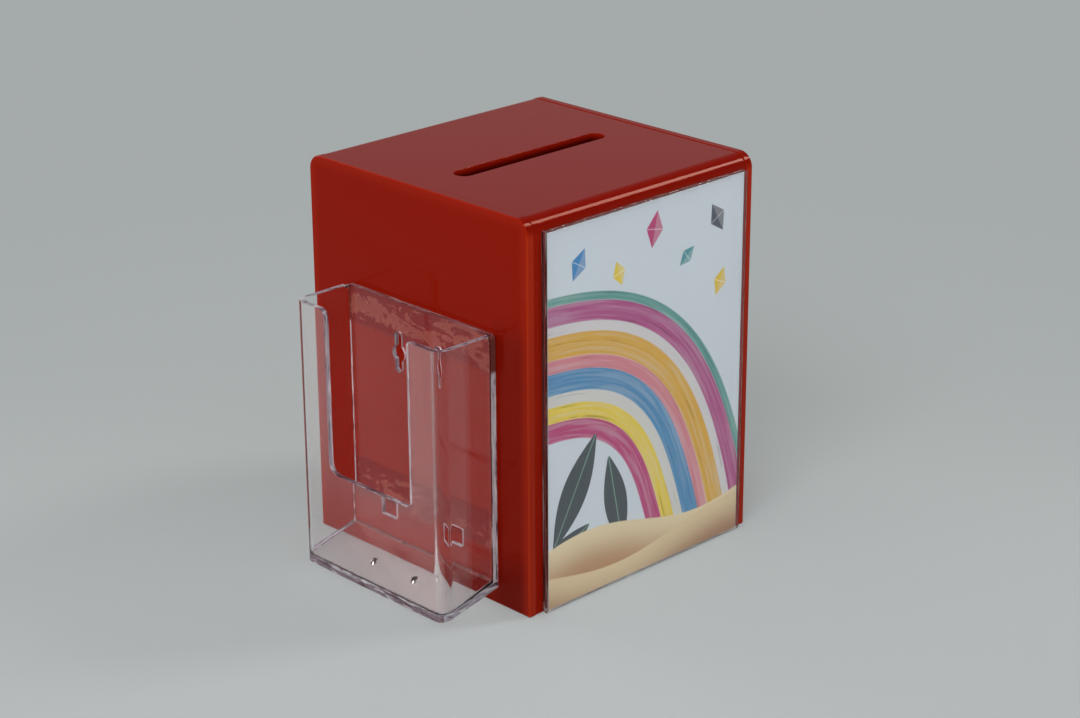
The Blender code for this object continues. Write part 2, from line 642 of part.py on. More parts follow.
def bolt_places(up):
    """The four bolts of one side of the hinges: a name for each and its place across and up."""
    places = []
    for side, word in ((-1, "left"), (1, "right")):
        for outward, where in ((1, "outer"), (-1, "inner")):
            x = side * (HINGE_X + outward * BOLT_SPACING / 2)
            places.append((f"{word}_{where}", x, HINGE_Z + up * BOLT_RISE))
    return places


def make_hinge_bolts(carrier, up):
    """Four bolts with low heads outside, each its own piece."""
    shoulder = BOLT_HEAD_HEIGHT - EDGE_ROUNDING
    profile = [
        (0, BOLT_HEAD_HEIGHT),
        (BOLT_HEAD_RADIUS - EDGE_ROUNDING, BOLT_HEAD_HEIGHT),
        (BOLT_HEAD_RADIUS, shoulder),
        (BOLT_HEAD_RADIUS, 0),
        (BOLT_RADIUS, 0),
        (BOLT_RADIUS, -BOLT_LENGTH),
        (0, -BOLT_LENGTH),
    ]
    bolts = []
    for word, x, z in bolt_places(up):
        name = f"{carrier}_bolt_{word}"
        centre = (x, BOLT_SEAT_Y, z)
        bolts.append(turned(name, profile, centre, ALONG_Y, STEEL, steps=FASTENER_STEPS))
    return bolts


def make_hinge_nuts(carrier, up):
    """Four hexagon nuts inside the box, each its own piece."""
    corner_radius = NUT_WIDTH / (2 * math.cos(math.pi / HEXAGON))
    nuts = []
    for word, x, z in bolt_places(up):
        name = f"{carrier}_nut_{word}"
        centre = (x, NUT_SEAT_Y - NUT_THICKNESS / 2, z)
        nut = cylinder(name, corner_radius, NUT_THICKNESS, centre, ALONG_Y, STEEL, sides=HEXAGON)
        cut(nut, bolt_hole_cutter(f"{name}_bore", NUT_THICKNESS, centre))
        nuts.append(nut)
    return nuts


def make_rear_door():
    low = (-DOOR_HALF_WIDTH, REAR_Y - SHEET, DOOR_FLOOR_GAP)
    high = (DOOR_HALF_WIDTH, REAR_Y, DOOR_TOP_Z)
    door = block("rear_door", low, high, RED_ACRYLIC)
    hole_centre = (0, REAR_Y - SHEET / 2, LOCK_Z)
    hole_length = SHEET + 2 * OVERRUN
    hole_radius = BARREL_RADIUS + SEAT_GAP
    cut(door, cylinder("lock_hole_cutter", hole_radius, hole_length, hole_centre, ALONG_Y))
    cut_bolt_holes(door, "door", -1)
    round_edges(door)
    return door


def lock_place(along):
    """A place on the lock's axis, measured outwards from the lock head's seat."""
    return (0, LOCK_SEAT_Y + along, LOCK_Z)


def make_lock_housing():
    face_floor = LOCK_HEAD_HEIGHT - PLUG_RECESS - PLUG_FACE_THICKNESS - SEAT_GAP
    profile = [
        (FACE_BORE_RADIUS, LOCK_HEAD_HEIGHT),
        (LOCK_HEAD_RADIUS - LOCK_HEAD_CHAMFER, LOCK_HEAD_HEIGHT),
        (LOCK_HEAD_RADIUS, LOCK_HEAD_HEIGHT - LOCK_HEAD_CHAMFER),
        (LOCK_HEAD_RADIUS, 0),
        (BARREL_RADIUS, 0),
        (BARREL_RADIUS, -BARREL_LENGTH),
        (PLUG_BORE_RADIUS, -BARREL_LENGTH),
        (PLUG_BORE_RADIUS, face_floor),
        (FACE_BORE_RADIUS, face_floor),
    ]
    return turned("lock_housing", profile, lock_place(0), ALONG_Y, CHROME, closed=True)


def make_lock_nut():
    centre = (0, NUT_SEAT_Y - LOCK_NUT_THICKNESS / 2, LOCK_Z)
    radius = LOCK_NUT_CORNER_RADIUS
    nut = cylinder("lock_nut", radius, LOCK_NUT_THICKNESS, centre, ALONG_Y, STEEL, sides=HEXAGON)
    bore_length = LOCK_NUT_THICKNESS + 2 * OVERRUN
    cut(nut, cylinder("lock_nut_bore", BARREL_RADIUS + SEAT_GAP, bore_length, centre, ALONG_Y))
    return nut


def make_lock_plug():
    """The turning core: keyway in front, square drive and screw hole behind."""
    face_back = PLUG_FRONT - PLUG_FACE_THICKNESS
    profile = [
        (0, PLUG_FRONT),
        (PLUG_FACE_RADIUS, PLUG_FRONT),
        (PLUG_FACE_RADIUS, face_back),
        (PLUG_RADIUS, face_back),
        (PLUG_RADIUS, -BARREL_LENGTH),
        (0, -BARREL_LENGTH),
    ]
    plug = turned("lock_plug", profile, lock_place(0), ALONG_Y, CHROME)
    half = DRIVE_WIDTH / 2
    drive_rear = lock_place(DRIVE_END)
    drive_front = lock_place(-BARREL_LENGTH + OVERRUN)
    low = (-half, drive_rear[1], LOCK_Z - half)
    high = (half, drive_front[1], LOCK_Z + half)
    join(plug, block("square_drive", low, high))
    across = KEY_THICKNESS / 2 + SEAT_GAP
    up = KEY_BLADE_HEIGHT / 2 + SEAT_GAP
    low = (-across, LOCK_SEAT_Y + KEYWAY_END, LOCK_Z - up)
    high = (across, LOCK_SEAT_Y + PLUG_FRONT + OVERRUN, LOCK_Z + up)
    cut(plug, block("keyway_cutter", low, high))
    hole_length = SCREW_TIP + SEAT_GAP - DRIVE_END + OVERRUN
    hole_centre = lock_place(SCREW_TIP + SEAT_GAP - hole_length / 2)
    cut(plug, cylinder("screw_hole_cutter", SCREW_RADIUS + SEAT_GAP, hole_length, hole_centre, ALONG_Y))
    return plug


def make_lock_cam():
    """The latch arm. At rest it points sideways, unlocked."""
    half = CAM_ARM_WIDTH / 2
    shoulder = math.degrees(math.asin(half / CAM_HUB_RADIUS))
    points = arc((0, 0), CAM_HUB_RADIUS, shoulder, 360 - shoulder, TURN_STEPS)
    points += arc((CAM_REACH - half, 0), half, -90, 90)
    centre = lock_place((CAM_FRONT + CAM_REAR) / 2)
    cam = outline("lock_cam", points, CAM_THICKNESS, centre, FACING_Y, STEEL)
    hole = DRIVE_WIDTH / 2 + SEAT_GAP
    low = (-hole, LOCK_SEAT_Y + CAM_REAR - OVERRUN, LOCK_Z - hole)
    high = (hole, LOCK_SEAT_Y + CAM_FRONT + OVERRUN, LOCK_Z + hole)
    cut(cam, block("cam_hole_cutter", low, high))
    return cam


def make_cam_washer():
    inner = SCREW_RADIUS + SEAT_GAP
    profile = [
        (inner, WASHER_FRONT),
        (WASHER_RADIUS, WASHER_FRONT),
        (WASHER_RADIUS, WASHER_REAR),
        (inner, WASHER_REAR),
    ]
    return turned("cam_washer", profile, lock_place(0), ALONG_Y, STEEL, closed=True)


def make_cam_screw():
    head_end = SCREW_SEAT - SCREW_HEAD_HEIGHT
    profile = [
        (0, SCREW_TIP),
        (SCREW_RADIUS, SCREW_TIP),
        (SCREW_RADIUS, SCREW_SEAT),
        (SCREW_HEAD_RADIUS, SCREW_SEAT),
        (SCREW_HEAD_RADIUS, head_end + EDGE_ROUNDING),
        (SCREW_HEAD_RADIUS - EDGE_ROUNDING, head_end),
        (0, head_end),
    ]
    screw = turned("cam_screw", profile, lock_place(0), ALONG_Y, STEEL)
    reach = SCREW_HEAD_RADIUS + OVERRUN
    low = (-SCREW_SLOT_WIDTH / 2, LOCK_SEAT_Y + head_end - OVERRUN, LOCK_Z - reach)
    high = (SCREW_SLOT_WIDTH / 2, LOCK_SEAT_Y + head_end + SCREW_SLOT_DEPTH, LOCK_Z + reach)
    cut(screw, block("screw_slot_cutter", low, high))
    return screw


def make_key():
    """A flat steel key: toothed blade in the keyway, neck outside it and a round bow."""
    blade = KEY_BLADE_HEIGHT / 2
    neck = KEY_NECK_HEIGHT / 2
    neck_start = PLUG_FRONT + PLUG_RECESS + SEAT_GAP
    neck_end = neck_start + KEY_NECK_LENGTH
    bow_x = neck_end + math.sqrt(KEY_BOW_RADIUS**2 - neck**2)
    shoulder = math.degrees(math.asin(neck / KEY_BOW_RADIUS))
    points = arc((bow_x, 0), KEY_BOW_RADIUS, 180 - shoulder, shoulder - 180, TURN_STEPS)
    points += [(neck_start, -neck), (neck_start, -blade)]
    teeth = len(KEY_TOOTH_DEPTH_SHARES)
    blade_length = neck_start - KEY_TIP
    for index, share in enumerate(KEY_TOOTH_DEPTH_SHARES):
        tooth_x = neck_start - blade_length * (index + 1) / (teeth + 1)
        points += [
            (tooth_x + KEY_TOOTH_HALF_WIDTH, -blade),
            (tooth_x, share * KEY_BLADE_HEIGHT - blade),
            (tooth_x - KEY_TOOTH_HALF_WIDTH, -blade),
        ]
    points += [
        (KEY_TIP + KEY_TIP_CHAMFER, -blade),
        (KEY_TIP, KEY_TIP_CHAMFER - blade),
        (KEY_TIP, blade - KEY_TIP_CHAMFER),
        (KEY_TIP + KEY_TIP_CHAMFER, blade),
        (neck_start, blade),
        (neck_start, neck),
    ]
    key = outline("key", points, KEY_THICKNESS, lock_place(0), FACING_X, KEY_STEEL)
    hole_x = bow_x + KEY_HOLE_SHIFT_SHARE * KEY_BOW_RADIUS
    hole_length = KEY_THICKNESS + 2 * OVERRUN
    cut(key, cylinder("key_hole_cutter", KEY_HOLE_RADIUS, hole_length, lock_place(hole_x), ALONG_X))
    return key


def joint_axis(name, centre, parent=None):
    """An empty on a joint's axis, which the moving pieces hang on."""
    empty = bpy.data.objects.new(name, None)
    empty.location = centre
    parts.objects.link(empty)
    if parent:
        hang([empty], parent)
    return empty


def hang(things, parent):
    """Parents pieces and leaves them where they are."""
    bpy.context.view_layer.update()
    for thing in things:
        placed = thing.matrix_world.copy()
        thing.parent = parent
        thing.matrix_parent_inverse = parent.matrix_world.inverted()
        thing.matrix_world = placed


def make_box():
    make_wrap_panel()
    make_side_panel("left_side_panel", -1)
    make_side_panel("right_side_panel", 1)
    make_base_panel()
    make_lock_keeper()
    make_poster_holder()
    make_leaflet_holder()
    make_leaflet_tape("leaflet_tape_upper", HOLDER_TOP - TAPE_TOP_MARGIN - TAPE_HEIGHT)
    make_leaflet_tape("leaflet_tape_lower", TAPE_LOWER_BASE)
    for side, word in ((-1, "left"), (1, "right")):
        outer_knuckles = range(0, KNUCKLE_COUNT, 2)
        make_hinge_leaf(f"hinge_leaf_frame_{word}", side * HINGE_X, 1, outer_knuckles)
        make_hinge_pin(f"hinge_pin_{word}", side * HINGE_X)
    make_hinge_bolts("frame", 1)
    make_hinge_nuts("frame", 1)


def make_door():
    """Everything that swings with the door, and the lock in it."""
    door_axis = joint_axis("door_hinge_axis", (0, HINGE_Y, HINGE_Z))
    swinging = [make_rear_door(), make_lock_housing(), make_lock_nut()]
    for side, word in ((-1, "left"), (1, "right")):
        inner_knuckles = range(1, KNUCKLE_COUNT, 2)
        leaf_name = f"hinge_leaf_door_{word}"
        swinging.append(make_hinge_leaf(leaf_name, side * HINGE_X, -1, inner_knuckles))
    swinging += make_hinge_bolts("door", -1)
    swinging += make_hinge_nuts("door", -1)
    hang(swinging, door_axis)
    lock_axis = joint_axis("lock_axis", lock_place(0), door_axis)
    hang([make_lock_plug(), make_lock_cam(), make_cam_washer(), make_cam_screw()], lock_axis)
    key_slide = joint_axis("key_slide_axis", lock_place(LOCK_HEAD_HEIGHT), lock_axis)
    hang([make_key()], key_slide)


def make_poster():
    card_slide = joint_axis("card_slide_axis", (POSTER_SHIFT_X, POCKET_BACK_Y, PAPER_FOOT_Z))
    hang([make_poster_card()], card_slide)


clear_scene()
parts = new_collection("suggestion_box")
cutters = new_collection("cutters")
make_box()
make_door()
make_poster()
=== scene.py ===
"""Looks of the acrylic suggestion box: pieces, materials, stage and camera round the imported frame."""

import math

import bmesh
import bpy
from mathutils import Matrix, Vector


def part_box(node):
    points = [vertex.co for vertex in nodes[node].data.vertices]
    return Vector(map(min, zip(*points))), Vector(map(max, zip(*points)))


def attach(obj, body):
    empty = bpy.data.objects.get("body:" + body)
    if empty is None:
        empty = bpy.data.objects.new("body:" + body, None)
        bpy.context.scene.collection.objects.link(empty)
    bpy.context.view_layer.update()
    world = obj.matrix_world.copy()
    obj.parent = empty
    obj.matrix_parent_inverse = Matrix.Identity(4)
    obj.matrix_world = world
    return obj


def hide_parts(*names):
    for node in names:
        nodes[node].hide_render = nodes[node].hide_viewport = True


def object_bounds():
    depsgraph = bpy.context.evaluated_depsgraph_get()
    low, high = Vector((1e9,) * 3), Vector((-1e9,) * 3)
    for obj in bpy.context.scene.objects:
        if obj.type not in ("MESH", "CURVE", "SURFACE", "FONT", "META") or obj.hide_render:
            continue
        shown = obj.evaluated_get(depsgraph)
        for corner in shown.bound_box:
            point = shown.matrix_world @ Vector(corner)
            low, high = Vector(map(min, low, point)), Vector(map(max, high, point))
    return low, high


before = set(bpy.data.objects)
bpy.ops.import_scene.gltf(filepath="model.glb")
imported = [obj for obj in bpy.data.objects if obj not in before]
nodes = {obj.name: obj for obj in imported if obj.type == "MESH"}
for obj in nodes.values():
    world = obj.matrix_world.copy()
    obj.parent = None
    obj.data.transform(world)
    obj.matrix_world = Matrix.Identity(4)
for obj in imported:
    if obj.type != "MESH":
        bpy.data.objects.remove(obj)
cad_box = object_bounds()

# The camera, fitted to the photograph's straight edges
LENS = 84.27
SENSOR = 36.0
AZIMUTH = math.radians(-44.084)
ELEVATION = math.radians(21.235)
ROLL = math.radians(-0.300)
CAMERA_PLACE = (-0.9119, -0.9479, 0.6113)

# Sizes the visual pieces share with the CAD, in metres
SHEET = 0.005
BEND_RADIUS = 0.0080
SIDE_CORNER_RADIUS = 0.0085
REAR_LIP = 0.0312
SLOT_LENGTH = 0.1090
SLOT_WIDTH = 0.0114
SLOT_PLACE = (-0.0012, -0.0013)
POSTER_LEAF = 0.0016
HOLDER_WALL = 0.0031
HOLDER_BACK = 0.0027
HOLDER_FLOOR = 0.0038
HOLDER_RISE = 0.0090
HOLDER_CORNER = 0.0070
HOLDER_BACK_CORNER = 0.0033
WINDOW_SILL = 0.0612
WINDOW_REAR_STRIP = 0.0249
WINDOW_FRONT_STRIP = 0.0245
KEYHOLE_SPACING = 0.0314
KEYHOLE_HEIGHT = 0.1248
KEYHOLE_RADIUS = 0.0048
KEYHOLE_SLOT = 0.0052
KEYHOLE_UP = 0.0124
KEYHOLE_DOWN = 0.0108
SQUARE_SPACING = 0.0500
SQUARE_WIDTH = 0.0124
SQUARE_HEIGHT = 0.0106
SQUARE_TOP = 0.0372
DRAIN_SPACING = 0.0328
DRAIN_RADIUS = 0.0018
DRAIN_FROM_FRONT = 0.0178
SQUARE_CORNER = 0.0010
POCKET_FOOT_CORNER = 0.0012
CORNER_CUT = 0.0050

# The window's corners: where it opens to the rim at the rear and at the front, and its two sill corners
WINDOW_REAR_FLARE = 0.0048
WINDOW_FRONT_FLARE = 0.0014
WINDOW_REAR_CORNER = 0.0062
WINDOW_FRONT_CORNER = 0.0036

# Widths of the broken edges
SHEET_BREAK = 0.00045
SIDE_ARRIS = 0.0009
SIDE_BREAK = 0.00025
LEAF_BREAK = 0.0002
HOLDER_BREAK = 0.0003
PANEL_BREAK = 0.0004
LOCK_NUT_BREAK = 0.0004
NUT_BREAK = 0.0003
CAM_BREAK = 0.0002
STAMPED_BREAK = 0.00018
TURNED_BREAK = 0.00015
WELD_INSET = 0.00025

# Where looks change on the bent sheet, the poster pocket and the leaflet holder
WRAP_END = 0.075
POCKET_RIM = 0.001
EDGE_REACH = 0.0008
RIM_BAND = 0.0006
BACK_BAND = 0.0004
SLAB_BAND = 0.0014
SLAB_TOP = 0.001
CLEAR_OF_FLOOR = 0.01
PAST_WINDOW = (0.004, 0.006)

# Small fittings
BOLT_RADIUS = 0.0015
BOLT_HEAD_HEIGHT = 0.0011
BOLT_RIM = 0.0004
RECESS_LENGTH = 0.0032
RECESS_WIDTH = 0.0007
RECESS_DEPTH = 0.0006
LOCK_HEAD_HEIGHT = 0.0025
LOCK_ROUNDING = 0.0010
LOCK_FACE_BORE = 0.0073
LOCK_FACE_DEPTH = 0.0018
LOCK_BORE = 0.0063
LOCK_BARREL = 0.0080
LOCK_CHAMFER = 0.0004

# How far a cutter passes a face, how far an arc bites past the face it meets, and the merging distance
OVER = 0.002
BITE = 0.0001
MERGE = 1e-6

# A flat outline's own x, y and thickness directions, as world directions
FACING_X = Matrix(((0, 0, 1), (1, 0, 0), (0, 1, 0))).to_4x4()
FACING_Z = Matrix.Identity(4)


# Mesh helpers

def arc(centre, radius, start, end, steps=12):
    points = []
    for step in range(steps + 1):
        angle = math.radians(start + (end - start) * step / steps)
        points.append((centre[0] + radius * math.cos(angle), centre[1] + radius * math.sin(angle)))
    return points


def object_from(bm, name):
    bmesh.ops.remove_doubles(bm, verts=bm.verts, dist=MERGE)
    bmesh.ops.recalc_face_normals(bm, faces=bm.faces)
    mesh = bpy.data.meshes.new(name)
    bm.to_mesh(mesh)
    bm.free()
    thing = bpy.data.objects.new(name, mesh)
    bpy.context.scene.collection.objects.link(thing)
    return thing


def prism(name, points, low, high, turn=FACING_X):
    """A closed solid of a flat outline between two heights along the turn's third direction."""
    bm = bmesh.new()
    bottom = [bm.verts.new(turn @ Vector((a, b, low))) for a, b in points]
    top = [bm.verts.new(turn @ Vector((a, b, high))) for a, b in points]
    bm.faces.new(bottom)
    bm.faces.new(top)
    count = len(points)
    for index in range(count):
        after = (index + 1) % count
        bm.faces.new((bottom[index], bottom[after], top[after], top[index]))
    return object_from(bm, name)


def box_solid(name, low, high):
    points = [(low[0], low[1]), (high[0], low[1]), (high[0], high[1]), (low[0], high[1])]
    return prism(name, points, low[2], high[2], FACING_Z)


def turned(name, node, profile, steps):
    """A closed solid turned about a node's middle line along Y, from a profile of radius and Y."""
    low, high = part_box(node)
    x, z = (low[0] + high[0]) / 2, (low[2] + high[2]) / 2
    bm = bmesh.new()
    rings = []
    for step in range(steps):
        angle = math.tau * step / steps
        across, up = math.cos(angle), math.sin(angle)
        rings.append([bm.verts.new((x + radius * across, y, z + radius * up)) for radius, y in profile])
    for ring, after in zip(rings, rings[1:] + rings[:1]):
        for index in range(len(profile) - 1):
            bm.faces.new((ring[index], ring[index + 1], after[index + 1], after[index]))
    return object_from(bm, name)


def bake(thing):
    """Applies a piece's modifiers."""
    depsgraph = bpy.context.evaluated_depsgraph_get()
    mesh = bpy.data.meshes.new_from_object(thing.evaluated_get(depsgraph))
    thing.modifiers.clear()
    thing.data = mesh


def cut(thing, cutters):
    """Cuts other solids from a piece and removes them."""
    for cutter in cutters:
        step = thing.modifiers.new(cutter.name, "BOOLEAN")
        step.operation = "DIFFERENCE"
        step.solver = "EXACT"
        step.object = cutter
    bake(thing)
    for cutter in cutters:
        bpy.data.objects.remove(cutter, do_unlink=True)


def soften(thing, width, segments=3, angle=40, sharp=45):
    """Rounds the sharp edges and keeps flat faces flat in the shading."""
    if width:
        step = thing.modifiers.new("rounded", "BEVEL")
        step.width = width
        step.segments = segments
        step.limit_method = "ANGLE"
        step.angle_limit = math.radians(angle)
        step.use_clamp_overlap = True
        bake(thing)
    thing.data.shade_smooth()
    thing.data.set_sharp_from_angle(angle=math.radians(sharp))
    weight = thing.modifiers.new("flat_faces", "WEIGHTED_NORMAL")
    weight.keep_sharp = True
    bake(thing)


def bevel_edges(bm, edges, width, segments, **options):
    bmesh.ops.bevel(bm, geom=edges, offset=width, segments=segments, profile=0.5, affect="EDGES", **options)


def round_over(thing, width, wanted):
    """Rounds only the edges whose two ends are both wanted."""
    bm = bmesh.new()
    bm.from_mesh(thing.data)
    edges = [edge for edge in bm.edges if all(wanted(vertex.co) for vertex in edge.verts)]
    bevel_edges(bm, edges, width, 4, clamp_overlap=True)
    bm.to_mesh(thing.data)
    bm.free()


def split(thing, place, normal):
    """Cuts a piece's faces along a plane and keeps both halves."""
    bm = bmesh.new()
    bm.from_mesh(thing.data)
    geometry = list(bm.verts) + list(bm.edges) + list(bm.faces)
    bmesh.ops.bisect_plane(bm, geom=geometry, dist=MERGE, plane_co=place, plane_no=normal)
    bm.to_mesh(thing.data)
    bm.free()


def finish_piece(thing, body, slot, looks, *stands_for):
    """Gives a piece its looks and body, and hides the nodes it stands for. The slot is not used."""
    thing.data.materials.clear()
    for look in looks:
        thing.data.materials.append(look)
    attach(thing, body)
    if stands_for:
        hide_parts(*stands_for)


# Node helpers

class Shade:
    """A short way to write a material's nodes. Numbers, tuples and sockets are all taken as inputs."""

    def __init__(self, name):
        self.material = bpy.data.materials.new(name)
        self.material.use_nodes = True
        self.tree = self.material.node_tree
        self.main = self.tree.nodes["Principled BSDF"]
        self.output = self.tree.nodes["Material Output"]
        self.place = self.add("ShaderNodeTexCoord").outputs["Object"]

    def add(self, kind, **settings):
        node = self.tree.nodes.new(kind)
        for key, value in settings.items():
            setattr(node, key, value)
        return node

    def feed(self, socket, value):
        if isinstance(value, bpy.types.NodeSocket):
            self.tree.links.new(value, socket)
        elif value is not None:
            if socket.type == "RGBA" and len(value) == 3:
                value = (*value, 1.0)
            socket.default_value = value

    def set(self, **values):
        for key, value in values.items():
            self.feed(self.main.inputs[key.replace("_", " ")], value)

    def math(self, operation, first, second=None, third=None):
        node = self.add("ShaderNodeMath", operation=operation)
        for socket, value in zip(node.inputs, (first, second, third)):
            self.feed(socket, value)
        return node.outputs[0]

    def vector(self, operation, first, second=None):
        node = self.add("ShaderNodeVectorMath", operation=operation)
        self.feed(node.inputs[0], first)
        self.feed(node.inputs[1], second)
        return node.outputs["Value" if operation in ("LENGTH", "DOT_PRODUCT") else "Vector"]

    def parts(self, vector):
        node = self.add("ShaderNodeSeparateXYZ")
        self.feed(node.inputs[0], vector)
        return node.outputs

    def joined(self, x, y, z):
        node = self.add("ShaderNodeCombineXYZ")
        for socket, value in zip(node.inputs, (x, y, z)):
            self.feed(socket, value)
        return node.outputs[0]

    def noise(self, scale, detail=3.0, roughness=0.5, distortion=0.0, at=None):
        node = self.add("ShaderNodeTexNoise")
        self.feed(node.inputs["Vector"], self.place if at is None else at)
        self.feed(node.inputs["Scale"], scale)
        self.feed(node.inputs["Detail"], detail)
        self.feed(node.inputs["Roughness"], roughness)
        self.feed(node.inputs["Distortion"], distortion)
        return node.outputs["Fac"]

    def cells(self, scale):
        node = self.add("ShaderNodeTexVoronoi", feature="F1")
        self.feed(node.inputs["Vector"], self.place)
        self.feed(node.inputs["Scale"], scale)
        return node.outputs["Distance"]

    def stretched(self, scale, turn=(0.0, 0.0, 0.0)):
        """Object places scaled by axis, so that a texture on them runs in streaks."""
        node = self.add("ShaderNodeMapping")
        self.feed(node.inputs["Vector"], self.place)
        node.inputs["Rotation"].default_value = turn
        node.inputs["Scale"].default_value = scale
        return node.outputs[0]

    def ramp(self, value, low, high, to_low=0.0, to_high=1.0):
        node = self.add("ShaderNodeMapRange", interpolation_type="SMOOTHSTEP")
        for socket, entry in zip(node.inputs, (value, low, high, to_low, to_high)):
            self.feed(socket, entry)
        return node.outputs[0]

    def blend(self, share, first, second):
        node = self.add("ShaderNodeMix", data_type="RGBA")
        self.feed(node.inputs["Factor"], share)
        self.feed(node.inputs[6], first)
        self.feed(node.inputs[7], second)
        return node.outputs[2]

    def bump(self, height, strength, distance):
        node = self.add("ShaderNodeBump")
        self.feed(node.inputs["Height"], height)
        self.feed(node.inputs["Strength"], strength)
        self.feed(node.inputs["Distance"], distance)
        return node.outputs[0]

    def lets_lamps_through(self, tint):
        """Rays from lamps pass the clear plastic in this tint, so that it casts no dark shadow."""
        ray = self.add("ShaderNodeLightPath").outputs["Is Shadow Ray"]
        open_shader = self.add("ShaderNodeBsdfTransparent")
        self.feed(open_shader.inputs["Color"], tint)
        mix = self.add("ShaderNodeMixShader")
        self.feed(mix.inputs[0], ray)
        self.feed(mix.inputs[1], self.main.outputs[0])
        self.feed(mix.inputs[2], open_shader.outputs[0])
        self.feed(self.output.inputs["Surface"], mix.outputs[0])
        return self.material


def dust(shade):
    """Small specks, as on any handled plastic: 1 on a speck."""
    speck = shade.cells(620.0)
    patch = shade.noise(55.0, 2.0)
    return shade.math("LESS_THAN", speck, shade.ramp(patch, 0.45, 0.75, 0.02, 0.045))


def scratches(shade, amount):
    """Fine hairlines in two directions."""
    total = None
    for turn, stretch in ((0.5, (26.0, 900.0, 900.0)), (-0.9, (900.0, 30.0, 700.0))):
        line = shade.noise(1.0, 2.0, 0.4, at=shade.stretched(stretch, (turn, turn * 0.7, turn)))
        line = shade.ramp(line, 0.70, 0.78, 0.0, amount)
        total = line if total is None else shade.math("MAXIMUM", total, line)
    return total


def deeper(colour, share):
    return tuple(value * share for value in colour)


def paler(colour):
    return tuple(value * 0.75 + 0.16 for value in colour)


# Materials

# How the two plastics bend light
ACRYLIC = 1.49
STYRENE = 1.57

# The red sheet's tones, in linear colour
RED = (0.254, 0.0052, 0.0006)
# Painted shade: a darker red beside the side panels' front edge and towards the foot of the door and base
RED_PAINTED_SHADE = (0.152, 0.0036, 0.0008)
RED_SIDE = (0.246, 0.0062, 0.0006)
# Painted shade at the side panels' front foot
RED_PAINTED_FOOT_SHADE = (0.095, 0.0022, 0.0006)
# Painted light on the bent sheet's front, and painted shade on its top and bend and on the tops of the edges
RED_FRONT_PAINTED_LIT = (0.310, 0.0110, 0.0030)
RED_TOP_PAINTED_SHADE = (0.186, 0.0034, 0.0006)
# Painted glow: cut edges and rounded arrises are coloured brighter orange for the light they gather and catch
EDGE = (0.385, 0.0190, 0.0050)
GLOW = (0.400, 0.0280, 0.0070)
GLOW_TOP = (0.280, 0.0110, 0.0028)
# Painted light and shade on the slot's walls: lit at the top, shaded down into the box
SLOT_PAINTED_LIT = (0.360, 0.0100, 0.0020)
SLOT_PAINTED_SHADE = (0.030, 0.0004, 0.0002)
# The weld's own dark joint colour, and a painted shade of it towards the foot
WELD = (0.24, 0.010, 0.005)
WELD_PAINTED_SHADE = (0.13, 0.004, 0.002)
DUST = (0.40, 0.16, 0.13)
RED_SHINE = 0.13
RED_MIRROR = (1.0, 0.30, 0.11)

# The clear plastics: their tints, how they mirror, and the tint of lamplight that passes them
POSTER_TINT, POSTER_MIRROR = (0.98, 0.985, 0.99), (0.6, 0.6, 0.6)
WALL_TINT, WALL_MIRROR = (0.958, 0.962, 0.962), (0.55, 0.38, 0.37)
FRONT_TINT, FRONT_MIRROR = (1.0, 0.955, 0.955), (0.90, 0.50, 0.50)
SLAB_TINT, SLAB_MIRROR = (0.850, 0.765, 0.770), (0.75, 0.38, 0.37)
POSTER_LAMP = (0.95, 0.96, 0.97)
HOLDER_LAMP = (0.99, 0.985, 0.985)
EDGE_LAMP = (0.86, 0.84, 0.86)
FRONT_MILK, MILKY_ABOVE = 0.033, (0.03, 0.09)

# Dark, middle and light of the painted streaks in a clear edge, which stand in for its refraction and
# highlights, and the painted duller tone they dim to from the upper tape up
POLISHED = ((0.050, 0.012, 0.012), (0.130, 0.045, 0.042), (0.40, 0.33, 0.33))
FOLD = ((0.300, 0.270, 0.270), (0.620, 0.600, 0.590), (0.860, 0.850, 0.840))
LILAC = ((0.100, 0.038, 0.052), (0.330, 0.225, 0.275), (0.880, 0.840, 0.890))
PALE = ((0.150, 0.090, 0.120), (0.560, 0.500, 0.580), (0.950, 0.930, 0.970))
BRIGHT = ((0.160, 0.100, 0.130), (0.700, 0.660, 0.720), (1.000, 0.980, 1.000))
FAINT = ((0.100, 0.018, 0.016), (0.160, 0.036, 0.034), (0.230, 0.080, 0.080))
CREST = ((0.130, 0.030, 0.032), (0.330, 0.140, 0.150), (0.520, 0.340, 0.370))
DIM = (0.200, 0.055, 0.045)

# Where the red tones change, in metres, each from and to. A fall is between two heights, mostly painted shade
# towards the foot; the painted shade beside the front edge and the rim's painted glow are measured inwards,
# and the top's painted shade down from the box's top.
TOP = cad_box[1][2]
BODY_FALL = (0.205, 0.090)
FRONT_FALL = (0.13, 0.0)
SIDE_FALL = (0.215, 0.165)
BESIDE_FRONT = (0.0290, 0.0230)
BESIDE_HEIGHT = (0.170, 0.145)
FRONT_FOOT = (0.014, -0.010)
FRONT_FOOT_LEAN = 0.35
RIM_GLOW = (0.0075, 0.0008)
TOP_TONE = (0.0100, 0.0045)


